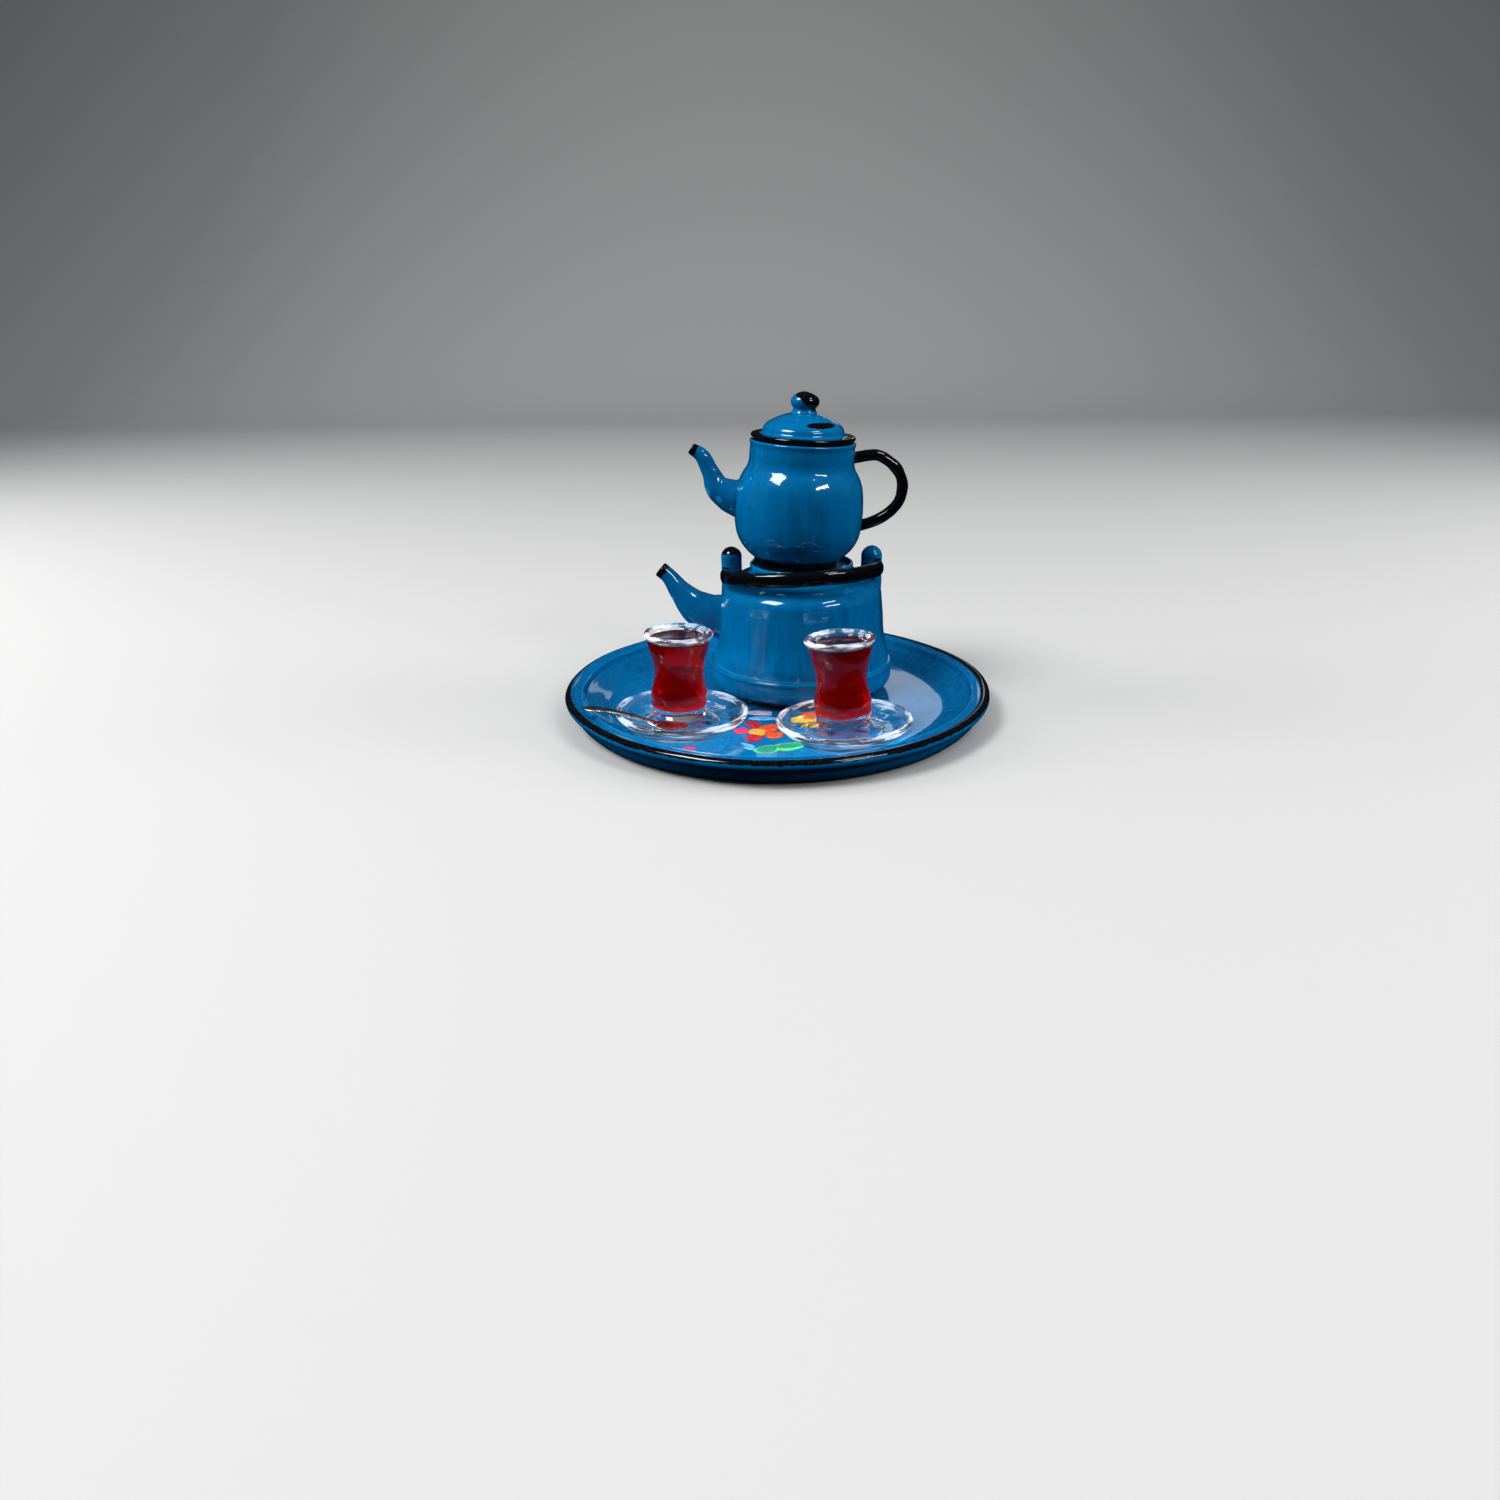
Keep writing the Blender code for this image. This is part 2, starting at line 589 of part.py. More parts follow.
kettle = frame_at("kettle_axis", KETTLE_X, KETTLE_Y, 0.0)
kettle_wall = wall_cutter("kettle_wall_cutter", kettle_wall_outline(), 5.0, KETTLE_SIDES, kettle)
make_kettle_base(kettle)
make_kettle_foot(kettle)
make_kettle_body(kettle)
make_kettle_spout(kettle, kettle_wall)
for word, side in (("left", -1), ("right", 1)):
    make_lug("kettle_lug_" + word, side, kettle, kettle_wall)
    make_pin("bail_pin_" + word, side, kettle)
make_bail()

lean = Matrix.Rotation(math.radians(TEAPOT_LEAN_DEG), 4, "Y")
lift = TEAPOT_FOOT_RADIUS * math.sin(math.radians(TEAPOT_LEAN_DEG))
teapot = frame_at("teapot_axis", TEAPOT_X, KETTLE_Y, SEAT_HEIGHT + lift, lean)
teapot_wall = wall_cutter("teapot_wall_cutter", teapot_wall_outline(), -1.0, TEAPOT_SIDES, teapot)
make_teapot_foot(teapot)
make_teapot_body(teapot)
make_teapot_spout(teapot, teapot_wall)
make_teapot_handle(teapot, teapot_wall)
make_lid(teapot)
make_knob(teapot)

make_service("left", LEFT_SAUCER, 1.6, (-0.45, 1.2), 0.0)
make_service("right", RIGHT_SAUCER, 2.7, (0.0, 1.45), -2.0)
make_spoon()
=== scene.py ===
import json
import math

import bmesh
import bpy
import numpy as np
from mathutils import Matrix, Vector, noise


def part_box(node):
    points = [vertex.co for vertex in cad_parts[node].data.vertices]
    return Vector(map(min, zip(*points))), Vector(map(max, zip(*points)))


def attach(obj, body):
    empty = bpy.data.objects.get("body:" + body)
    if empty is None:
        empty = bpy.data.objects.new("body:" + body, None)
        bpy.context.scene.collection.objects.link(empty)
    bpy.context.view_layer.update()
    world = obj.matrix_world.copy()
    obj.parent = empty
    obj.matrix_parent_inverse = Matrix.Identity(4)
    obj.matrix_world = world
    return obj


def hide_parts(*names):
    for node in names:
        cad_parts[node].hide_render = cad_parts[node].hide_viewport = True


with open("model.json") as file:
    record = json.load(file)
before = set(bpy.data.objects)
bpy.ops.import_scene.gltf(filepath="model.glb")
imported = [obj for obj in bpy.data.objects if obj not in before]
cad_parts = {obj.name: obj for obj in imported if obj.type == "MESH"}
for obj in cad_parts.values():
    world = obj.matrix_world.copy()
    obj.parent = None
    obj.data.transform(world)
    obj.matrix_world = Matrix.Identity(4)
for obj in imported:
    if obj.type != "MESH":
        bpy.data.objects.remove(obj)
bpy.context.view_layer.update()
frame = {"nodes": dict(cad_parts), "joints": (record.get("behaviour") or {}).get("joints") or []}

MM = 0.001  # metres in the millimetre that the shapes below are written in
TRAY_FLOOR = 1.3  # height of the tray's floor over its underside
TEA_LEVEL = 12.75  # height of the tea over the glass's foot
GLASS_IOR = 1.5
TEA_IOR = 1.34
EDGE = "edge"  # vertex value: above 0 enamel is black, and towards 1 glass gets pale painted highlights
ALL_BLUE = -5.0
ALL_BLACK = 5.0


# ---------------------------------------------------------------- places taken from the frame

def turned_frame(node):
    """Matrix of a turned CAD node: Z is its axis, found from the faces that look down, and
    z = 0 is its lowest point."""
    mesh = frame["nodes"][node].data
    points = np.array([v.co for v in mesh.vertices], float)
    normals = np.array([p.normal for p in mesh.polygons], float)
    centres = np.array([p.center for p in mesh.polygons], float)
    areas = np.array([p.area for p in mesh.polygons], float)
    axis = np.array((0.0, 0.0, 1.0))
    for _ in range(4):
        underside = areas * (normals @ axis < -0.97)
        axis = -(underside @ normals)
        axis /= np.linalg.norm(axis)
    centre = underside @ centres / underside.sum()
    base = centre + axis * ((points - centre) @ axis).min()
    turn = Vector((0, 0, 1)).rotation_difference(Vector(axis)).to_matrix().to_4x4()
    return Matrix.Translation(Vector(base)) @ turn


def shifted_up(matrix, height):
    """The matrix moved up its own axis by height millimetres."""
    return matrix @ Matrix.Translation((0.0, 0.0, height * MM))


def handle_frame():
    """The kettle handle's own frame: X along its pivot to the right, Z square to its ring."""
    joint = next(joint for joint in frame["joints"] if joint["name"] == "bail_swing")
    across = -Vector(joint["axis"]).normalized()
    points = np.array([v.co for v in frame["nodes"]["bail_handle"].data.vertices], float)
    pivot = Vector(joint["pos_m"])
    crown = points[:, 1] < points[:, 1].min() + 0.5 * MM
    ahead = Vector(points[crown].mean(0)) - pivot
    ahead = (ahead - across * ahead.dot(across)).normalized()
    up = across.cross(-ahead)
    turn = Matrix((across, -ahead, up)).transposed().to_4x4()
    return Matrix.Translation(pivot) @ turn


def spoon_frame():
    """Z up, X along the spoon from the end of its bowl, at tray height zero."""
    points = np.array([v.co for v in frame["nodes"]["spoon"].data.vertices], float)
    flat = points[:, :2]
    middle = flat.mean(0)
    heading = np.linalg.eigh(np.cov((flat - middle).T))[1][:, 1]
    if heading[0] > 0:
        heading = -heading
    along = (flat - middle) @ heading
    start = middle + heading * along.min()
    turn = Matrix.Rotation(math.atan2(heading[1], heading[0]), 4, "Z")
    return Matrix.Translation((start[0], start[1], 0.0)) @ turn


# ---------------------------------------------------------------- mesh tools (millimetres)

def spline(points, step=0.3):
    """Centripetal Catmull-Rom curve through points of any dimension, sampled about every step."""
    knots = [Vector(p) for p in points]
    knots = [2 * knots[0] - knots[1]] + knots + [2 * knots[-1] - knots[-2]]
    curve = []
    for a, b, c, d in zip(knots, knots[1:], knots[2:], knots[3:]):
        t1 = max((b - a).length, 1e-6) ** 0.5
        t2 = t1 + max((c - b).length, 1e-6) ** 0.5
        t3 = t2 + max((d - c).length, 1e-6) ** 0.5
        pieces = max(1, math.ceil((c - b).length / step))
        for i in range(pieces):
            t = t1 + (t2 - t1) * i / pieces
            ab = a * ((t1 - t) / t1) + b * (t / t1)
            bc = b * ((t2 - t) / (t2 - t1)) + c * ((t - t1) / (t2 - t1))
            cd = c * ((t3 - t) / (t3 - t2)) + d * ((t - t2) / (t3 - t2))
            abc = ab * ((t2 - t) / t2) + bc * (t / t2)
            bcd = bc * ((t3 - t) / (t3 - t1)) + cd * ((t - t1) / (t3 - t1))
            curve.append(abc * ((t2 - t) / (t2 - t1)) + bcd * ((t - t1) / (t2 - t1)))
    curve.append(knots[-2])
    return curve


def line(points, step=0.6):
    """Straight pieces between the points, cut about every step."""
    knots = [Vector(p) for p in points]
    curve = []
    for a, b in zip(knots, knots[1:]):
        pieces = max(1, math.ceil((b - a).length / step))
        curve += [a.lerp(b, i / pieces) for i in range(pieces)]
    curve.append(knots[-1])
    return curve


def arc(cx, cz, radius, start_deg, end_deg, steps):
    """Points of an arc, anticlockwise where end_deg is the larger angle."""
    points = []
    for i in range(steps + 1):
        angle = math.radians(start_deg + (end_deg - start_deg) * i / steps)
        points.append(Vector((cx + radius * math.cos(angle), cz + radius * math.sin(angle))))
    return points


def chain(*runs):
    """Join runs of (radius, height) points, dropping points that repeat."""
    joined = []
    for run in runs:
        for point in run:
            point = Vector(point)
            if not joined or (point - joined[-1]).length > 1e-4:
                joined.append(point)
    return joined


def revolve(outline, sides):
    """Spin a dense (radius, height) outline into a closed skin."""
    bm = bmesh.new()
    rings = []
    for r, z in outline:
        if r <= 1e-6:
            rings.append([bm.verts.new((0.0, 0.0, z))])
            continue
        ring = []
        for k in range(sides):
            angle = math.tau * k / sides
            ring.append(bm.verts.new((r * math.cos(angle), r * math.sin(angle), z)))
        rings.append(ring)
    pairs = list(zip(rings, rings[1:]))
    if outline[0][0] > 1e-6:
        pairs.append((rings[-1], rings[0]))
    for first, second in pairs:
        for k in range(sides):
            n = (k + 1) % sides
            corners = [first[k % len(first)], first[n % len(first)],
                       second[n % len(second)], second[k % len(second)]]
            corners = list(dict.fromkeys(corners))
            if len(corners) > 2:
                bm.faces.new(corners)
    return bm


def run_at(knots, i):
    """The step from the sample before i to the one after it."""
    return knots[min(i + 1, len(knots) - 1)] - knots[max(i - 1, 0)]


def oval(centre, side, up, sides, square=1.0):
    """Points of an oval with half axes side and up; square below 1 fills out its corners."""
    ring = []
    for k in range(sides):
        angle = math.tau * k / sides
        c = math.copysign(abs(math.cos(angle)) ** square, math.cos(angle))
        s = math.copysign(abs(math.sin(angle)) ** square, math.sin(angle))
        ring.append(centre + side * c + up * s)
    return ring


def tube_rings(knots, sides):
    """Rings square to a line of (x, y, z, half width, half height) samples."""
    rings = []
    for i, knot in enumerate(knots):
        direction = Vector(run_at(knots, i)[:3]).normalized()
        side = Vector((0, 1, 0)) if abs(direction.y) < 0.8 else Vector((0, 0, 1))
        side = (side - direction * side.dot(direction)).normalized()
        up = direction.cross(side)
        rings.append(oval(Vector(knot[:3]), side * knot[3], up * knot[4], sides))
    return rings


def flat_rings(knots, sides):
    """Rings for a bar that runs in its XY plane, from (x, y, z, half height, half width)."""
    rings = []
    up = Vector((0, 0, 1))
    for i, knot in enumerate(knots):
        run = run_at(knots, i)
        direction = Vector((run[0], run[1], 0.0)).normalized()
        side = Vector((direction.y, -direction.x, 0.0))
        rings.append(oval(Vector(knot[:3]), side * knot[4], up * knot[3], sides, 0.8))
    return rings


def skin(rings, closed=False):
    """Skin through rings of equal length: capped at both ends, or closed into a loop."""
    bm = bmesh.new()
    made = [[bm.verts.new(p) for p in ring] for ring in rings]
    count = len(made[0])
    pairs = list(zip(made, made[1:]))
    if closed:
        pairs.append((made[-1], made[0]))
    for first, second in pairs:
        for k in range(count):
            n = (k + 1) % count
            bm.faces.new((first[k], first[n], second[n], second[k]))
    if not closed:
        bm.faces.new(made[0][::-1])
        bm.faces.new(made[-1])
    return bm


def noise_shift(seed):
    """Where in the noise a piece's own pattern starts."""
    return Vector((seed * 13.7, seed * 5.1, seed * 9.3))


def wobble(bm, depth, grain, seed):
    """Move vertices along their normals by smooth noise; depth and grain are millimetres."""
    bm.normal_update()
    shift = noise_shift(seed)
    moves = [v.normal * depth * noise.noise(v.co / grain + shift) for v in bm.verts]
    for vert, move in zip(bm.verts, moves):
        vert.co += move


def warp(bm, depth, grain, seed):
    """Bend the space the vertices stand in, so nested bodies stay nested. Each of the three
    directions reads its own part of the noise."""
    shift = noise_shift(seed)
    offsets = (Vector((0.0, 0.0, 0.0)), Vector((31.4, 12.9, 57.3)), Vector((71.7, 88.2, 23.1)))
    for vert in bm.verts:
        place = vert.co / grain + shift
        vert.co += depth * Vector([noise.noise(place + offset) for offset in offsets])


def all_black(p):
    return ALL_BLACK


def all_blue(p):
    return ALL_BLUE


def make_piece(name, bm, mats, matrix, body, nodes, edge=None, sharp_deg=50.0):
    """Turn a millimetre bmesh into a piece that stands at matrix, rides on body and takes the
    place of nodes. edge gives each vertex's edge value from its millimetre position."""
    bmesh.ops.recalc_face_normals(bm, faces=bm.faces)
    if bm.calc_volume(signed=True) < 0.0:
        bmesh.ops.reverse_faces(bm, faces=bm.faces)
    bmesh.ops.scale(bm, vec=(MM, MM, MM), verts=bm.verts)
    mesh = bpy.data.meshes.new(name)
    bm.to_mesh(mesh)
    bm.free()
    mesh.shade_smooth()
    mesh.set_sharp_from_angle(angle=math.radians(sharp_deg))
    for mat in mats:
        mesh.materials.append(mat)
    if edge is not None:
        values = [edge(v.co / MM) for v in mesh.vertices]
        layer = mesh.attributes.new(EDGE, "FLOAT", "POINT")
        layer.data.foreach_set("value", values)
    obj = bpy.data.objects.new(name, mesh)
    bpy.context.scene.collection.objects.link(obj)
    obj.matrix_world = matrix
    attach(obj, body)
    if nodes:
        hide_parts(*nodes)
    return obj


# ---------------------------------------------------------------- materials

BLUE = (0.0, 0.135, 0.31)
TRAY_TONE = (0.0, 0.155, 0.36)
SPECK_BLUE = (0.02, 0.26, 0.50)
THIN_ENAMEL_SHEEN_BLUE = (0.02, 0.34, 0.60)  # paler blue on convex bends: painted highlight on ridges and lips, and enamel thinner there


def new_material(name):
    mat = bpy.data.materials.new(name)
    mat.use_nodes = True
    return mat, mat.node_tree, mat.node_tree.nodes["Principled BSDF"]


def add(tree, kind, **values):
    """A node with its named inputs or properties set."""
    node = tree.nodes.new(kind)
    for key, value in values.items():
        if key in node.inputs:
            node.inputs[key].default_value = value
        else:
            setattr(node, key, value)
    return node


def object_mm(tree, scale=(1.0, 1.0, 1.0), place=(0.0, 0.0, 0.0)):
    """Object coordinates in millimetres, stretched by scale."""
    coords = tree.nodes.new("ShaderNodeTexCoord")
    mapping = tree.nodes.new("ShaderNodeMapping")
    mapping.inputs["Scale"].default_value = [s / MM for s in scale]
    mapping.inputs["Location"].default_value = place
    tree.links.new(coords.outputs["Object"], mapping.inputs["Vector"])
    return mapping.outputs["Vector"]


def edge_value(tree):
    """The piece's edge value, as make_piece stores it."""
    node = tree.nodes.new("ShaderNodeAttribute")
    node.attribute_name = EDGE
    return node.outputs["Fac"]


def round_axis(tree):
    """Angle round the piece's own axis and height: noise on it runs in streaks along a rim."""
    coords = tree.nodes.new("ShaderNodeTexCoord")
    parts = tree.nodes.new("ShaderNodeSeparateXYZ")
    tree.links.new(coords.outputs["Object"], parts.inputs["Vector"])
    angle = math_node(tree, "ARCTAN2", parts.outputs["Y"], parts.outputs["X"])
    joined = tree.nodes.new("ShaderNodeCombineXYZ")
    tree.links.new(math_node(tree, "MULTIPLY", angle, 1.7), joined.inputs["X"])
    tree.links.new(math_node(tree, "MULTIPLY", parts.outputs["Z"], 1.3 / MM), joined.inputs["Y"])
    return joined.outputs["Vector"]


def noise_node(tree, vector, grain, detail=2.0, roughness=0.5):
    node = tree.nodes.new("ShaderNodeTexNoise")
    node.inputs["Scale"].default_value = 1.0 / grain
    node.inputs["Detail"].default_value = detail
    node.inputs["Roughness"].default_value = roughness
    tree.links.new(vector, node.inputs["Vector"])
    return node.outputs["Fac"]


def ramp(tree, value, low, high, start=0.0, end=1.0):
    """value from low..high mapped smoothly onto start..end."""
    node = tree.nodes.new("ShaderNodeMapRange")
    node.interpolation_type = "SMOOTHSTEP"
    for key, number in (("From Min", low), ("From Max", high), ("To Min", start), ("To Max", end)):
        node.inputs[key].default_value = number
    tree.links.new(value, node.inputs["Value"])
    return node.outputs["Result"]


def feed(tree, socket, value):
    """Set a socket to a number or a colour, or link another socket to it."""
    if isinstance(value, (int, float)):
        socket.default_value = value
    elif isinstance(value, tuple):
        socket.default_value = (*value, 1.0)
    else:
        tree.links.new(value, socket)


def math_node(tree, operation, first, second):
    node = tree.nodes.new("ShaderNodeMath")
    node.operation = operation
    feed(tree, node.inputs[0], first)
    feed(tree, node.inputs[1], second)
    return node.outputs["Value"]


def mix_colour(tree, factor, first, second):
    """Colour mix; a Mix node keeps its colour sockets at inputs 6 and 7 and output 2."""
    node = tree.nodes.new("ShaderNodeMix")
    node.data_type = "RGBA"
    feed(tree, node.inputs[0], factor)
    feed(tree, node.inputs[6], first)
    feed(tree, node.inputs[7], second)
    return node.outputs[2]


def mix_shader(tree, factor, first, second):
    node = tree.nodes.new("ShaderNodeMixShader")
    for socket, value in zip(node.inputs, (factor, first, second)):
        feed(tree, socket, value)
    return node.outputs[0]


def bump_normal(tree, height, strength, depth):
    """Normals for a height pattern; depth is millimetres."""
    node = add(tree, "ShaderNodeBump", Strength=strength, Distance=depth * MM)
    tree.links.new(height, node.inputs["Height"])
    return node.outputs["Normal"]


def enamel(name, seed, blue=BLUE, streak=0.12, worn=0.0):
    """Glossy brushed enamel, painted over with black where the edge value is above 0."""
    mat, tree, shader = new_material(name)
    shift = (seed * 3.1, seed * 7.7, seed * 1.9)
    flat = object_mm(tree, place=shift)
    upright = object_mm(tree, (1.0, 1.0, 0.13), shift)
    broad = noise_node(tree, flat, 7.0, 2.0)
    brush = noise_node(tree, upright, 1.1, 3.0)
    deep = tuple(c * (1.0 - streak * 1.5) for c in blue)
    pale = tuple(min(1.0, c * (1.0 + streak)) for c in blue)
    body = mix_colour(tree, ramp(tree, brush, 0.35, 0.65), deep, pale)
    body = mix_colour(tree, ramp(tree, broad, 0.3, 0.7), body, blue)
    speck = ramp(tree, noise_node(tree, flat, 0.35, 1.0), 0.73, 0.78)
    body = mix_colour(tree, speck, body, SPECK_BLUE)
    # Convex bends turn paler blue: a painted highlight along ridges and lips, together with thinner
    # enamel there.
    bend = tree.nodes.new("ShaderNodeNewGeometry").outputs["Pointiness"]
    body = mix_colour(tree, ramp(tree, bend, 0.52, 0.58, 0.0, 0.7), body, THIN_ENAMEL_SHEEN_BLUE)
    ragged = noise_node(tree, flat, 0.9, 4.0, 0.6)
    ragged = math_node(tree, "MULTIPLY", math_node(tree, "SUBTRACT", ragged, 0.5), 0.6)
    mask = ramp(tree, math_node(tree, "ADD", edge_value(tree), ragged), -0.07, 0.07)
    grime = noise_node(tree, flat, 0.6, 5.0, 0.7)
    black = mix_colour(tree, ramp(tree, grime, 0.5, 0.8), (0.004, 0.004, 0.006),
                       (0.008 + 0.09 * worn, 0.008 + 0.07 * worn, 0.010 + 0.06 * worn))
    tree.links.new(mix_colour(tree, mask, body, black), shader.inputs["Base Color"])
    tree.links.new(ramp(tree, grime, 0.3, 0.7, 0.2, 0.3), shader.inputs["Roughness"])
    shader.inputs["Specular IOR Level"].default_value = 0.05
    shader.inputs["Coat Weight"].default_value = 1.0
    shader.inputs["Coat Roughness"].default_value = 0.04
    shader.inputs["Coat IOR"].default_value = 1.5
    peel = noise_node(tree, flat, 0.8, 2.0)
    ridge = math_node(tree, "MULTIPLY", mask, 0.8)
    height = math_node(tree, "ADD", math_node(tree, "MULTIPLY", peel, 0.6), ridge)
    height = math_node(tree, "ADD", height, math_node(tree, "MULTIPLY", brush, 0.15))
    normal = bump_normal(tree, height, 0.3, 0.04)
    tree.links.new(normal, shader.inputs["Normal"])
    tree.links.new(normal, shader.inputs["Coat Normal"])
    return mat


def clear_glass(name, ior):
    """Clear glass that lets shadow rays through, with painted highlights: pale streaks along its
    lip.
    """
    mat, tree, shader = new_material(name)
    tint = (0.97, 0.99, 0.99, 1.0)
    shader.inputs["Base Color"].default_value = tint
    shader.inputs["Transmission Weight"].default_value = 1.0
    shader.inputs["Roughness"].default_value = 0.015
    shader.inputs["IOR"].default_value = ior
    ripple = noise_node(tree, object_mm(tree), 1.6, 3.0)
    tree.links.new(bump_normal(tree, ripple, 0.35, 0.12), shader.inputs["Normal"])
    # Painted highlight: white translucent and diffuse shading mixed in along the lip in streaks,
    # standing in for glints.
    glint_translucent = add(tree, "ShaderNodeBsdfTranslucent", Color=(0.95, 0.97, 1.0, 1.0))
    glint_diffuse = add(tree, "ShaderNodeBsdfDiffuse", Color=(0.80, 0.85, 0.90, 1.0))
    pale = tree.nodes.new("ShaderNodeAddShader")
    tree.links.new(glint_translucent.outputs[0], pale.inputs[0])
    tree.links.new(glint_diffuse.outputs[0], pale.inputs[1])
    glints = ramp(tree, noise_node(tree, round_axis(tree), 1.0, 2.0), 0.48, 0.6, 0.03, 0.42)
    amount = math_node(tree, "MULTIPLY", ramp(tree, edge_value(tree), 0.0, 1.0), glints)
    body = mix_shader(tree, amount, shader.outputs[0], pale.outputs[0])
    shadow_through(tree, body, tint, 0.85)
    return mat


def shadow_through(tree, surface, tint, share):
    """Send surface to the output, but let a share of each shadow ray pass with a tint."""
    through = add(tree, "ShaderNodeBsdfTransparent", Color=tint)
    path = tree.nodes.new("ShaderNodeLightPath")
    amount = math_node(tree, "MULTIPLY", path.outputs["Is Shadow Ray"], share)
    mix = mix_shader(tree, amount, surface, through.outputs[0])
    tree.links.new(mix, tree.nodes["Material Output"].inputs["Surface"])


def red_tea(name, is_side):
    """Red liquid: its top bends light, and its side passes light straight on and glows red."""
    mat, tree, clear = new_material(name)
    if is_side:
        clear = tree.nodes.new("ShaderNodeBsdfTransparent")
        colour = add(tree, "ShaderNodeBsdfTranslucent", Color=(0.95, 0.005, 0.01, 1.0))
    else:
        clear.inputs["Base Color"].default_value = (1.0, 0.55, 0.5, 1.0)
        clear.inputs["Transmission Weight"].default_value = 1.0
        clear.inputs["Roughness"].default_value = 0.0
        clear.inputs["IOR"].default_value = TEA_IOR
        colour = add(tree, "ShaderNodeBsdfDiffuse", Color=(0.07, 0.004, 0.012, 1.0))
    surface = mix_shader(tree, 0.3, clear.outputs[0], colour.outputs[0])
    absorb = add(tree, "ShaderNodeVolumeAbsorption", Color=(0.86, 0.01, 0.02, 1.0),
                 Density=0.8 / MM)
    tree.links.new(absorb.outputs[0], tree.nodes["Material Output"].inputs["Volume"])
    shadow_through(tree, surface, (0.85, 0.08, 0.06, 1.0), 1.0)
    return mat


def metal(name, colour, roughness):
    """Metal that is duller and darker in patches."""
    mat, tree, shader = new_material(name)
    coords = object_mm(tree)
    dull = noise_node(tree, coords, 0.8, 4.0, 0.6)
    tone = mix_colour(tree, ramp(tree, dull, 0.35, 0.7), colour, tuple(c * 0.72 for c in colour))
    tree.links.new(tone, shader.inputs["Base Color"])
    shader.inputs["Metallic"].default_value = 1.0
    tree.links.new(ramp(tree, dull, 0.3, 0.7, roughness, roughness * 1.8),
                   shader.inputs["Roughness"])
    dents = noise_node(tree, coords, 1.3, 3.0)
    tree.links.new(bump_normal(tree, dents, 0.4, 0.08), shader.inputs["Normal"])
    return mat


def flower_paint(name, first, second, grain=0.7):
    """Thick glossy brush paint that wanders between two colours."""
    mat, tree, shader = new_material(name)
    coords = object_mm(tree)
    patches = noise_node(tree, coords, grain, 3.0, 0.6)
    tone = mix_colour(tree, ramp(tree, patches, 0.42, 0.58), first, second)
    tree.links.new(tone, shader.inputs["Base Color"])
    shader.inputs["Roughness"].default_value = 0.28
    shader.inputs["Coat Weight"].default_value = 0.4
    strokes = noise_node(tree, coords, 0.45, 3.0)
    tree.links.new(bump_normal(tree, strokes, 0.6, 0.08), shader.inputs["Normal"])
    return mat


TRAY_BLUE = enamel("tray_enamel", 1.0, TRAY_TONE, streak=0.15, worn=0.3)
KETTLE_BLUE = enamel("kettle_enamel", 2.0)
TEAPOT_BLUE = enamel("teapot_enamel", 3.0)
BLACK = enamel("handle_enamel", 4.0, worn=0.1)
GLASS = clear_glass("clear_glass_look", GLASS_IOR)
WET_GLASS = clear_glass("wet_glass_look", GLASS_IOR / TEA_IOR)  # where tea touches it
TEA = red_tea("tea_top_look", False)
TEA_SIDE = red_tea("tea_side_look", True)
SILVER = metal("spoon_look", (0.78, 0.77, 0.76), 0.2)
STEEL = metal("pin_look", (0.10, 0.10, 0.11), 0.3)


# ---------------------------------------------------------------- tray

def tray_edge(p):
    """Black round the rolled rim; the band is wider on the right and in front."""
    r = math.hypot(p.x, p.y)
    turn = math.atan2(p.y, p.x)
    inner = 34.12 - 0.55 * max(0.0, math.cos(turn)) - 0.1 * max(0.0, -math.sin(turn))
    lower = 3.9 + 0.15 * noise.noise(Vector((math.cos(turn) * 4, math.sin(turn) * 4, 2.0)))
    top_side = r - inner
    return min(top_side, p.z - lower) * 1.2


def make_tray():
    under = spline([(31.2, 0.05), (31.9, 0.12), (32.7, 0.42), (33.5, 1.4), (34.05, 2.7)])
    roll = arc(34.18, 3.63, 0.82, -62, 142, 16)
    flange = line([(33.3, 4.12), (32.45, 3.84)], 0.3)
    ridge = spline([(32.45, 3.84), (32.22, 4.16), (31.98, 3.95), (31.6, 3.5)], 0.1)
    wall = spline([(31.6, 3.5), (30.2, 2.72), (28.75, 1.98), (27.9, 1.52), (27.1, 1.33),
                   (26.5, TRAY_FLOOR)], 0.25)
    floor = line([(26.5, TRAY_FLOOR), (4.0, TRAY_FLOOR), (0.0, TRAY_FLOOR)], 0.9)
    base = line([(0.0, 0.0), (31.2, 0.0)], 1.5)
    bm = revolve(chain(base, under, roll, flange, ridge, wall, floor), 220)
    for v in bm.verts:
        r = math.hypot(v.co.x, v.co.y)
        if r > 31.0 and v.co.z > 0.3:
            turn = Vector((v.co.x, v.co.y, 0.0)) / r
            v.co += turn * 0.1 * noise.noise(turn * 3.0 + Vector((0, 0, 4.0)))
            v.co.z += 0.1 * noise.noise(turn * 2.5 + Vector((3.0, 0, 0)))
    make_piece("tray_skin", bm, [TRAY_BLUE], turned_frame("tray"), "tray", ["tray"],
               tray_edge)


# ---------------------------------------------------------------- kettle

KETTLE_FOOT = turned_frame("kettle_foot_ring")
# The kettle's axis, with heights measured from the tray's underside.
KETTLE_PLACE = shifted_up(KETTLE_FOOT, -KETTLE_FOOT.translation.z / MM)
HANDLE_PLACE = handle_frame()
TONGUE_OFFSET = 12.55  # from the kettle's middle to each flat end of its handle


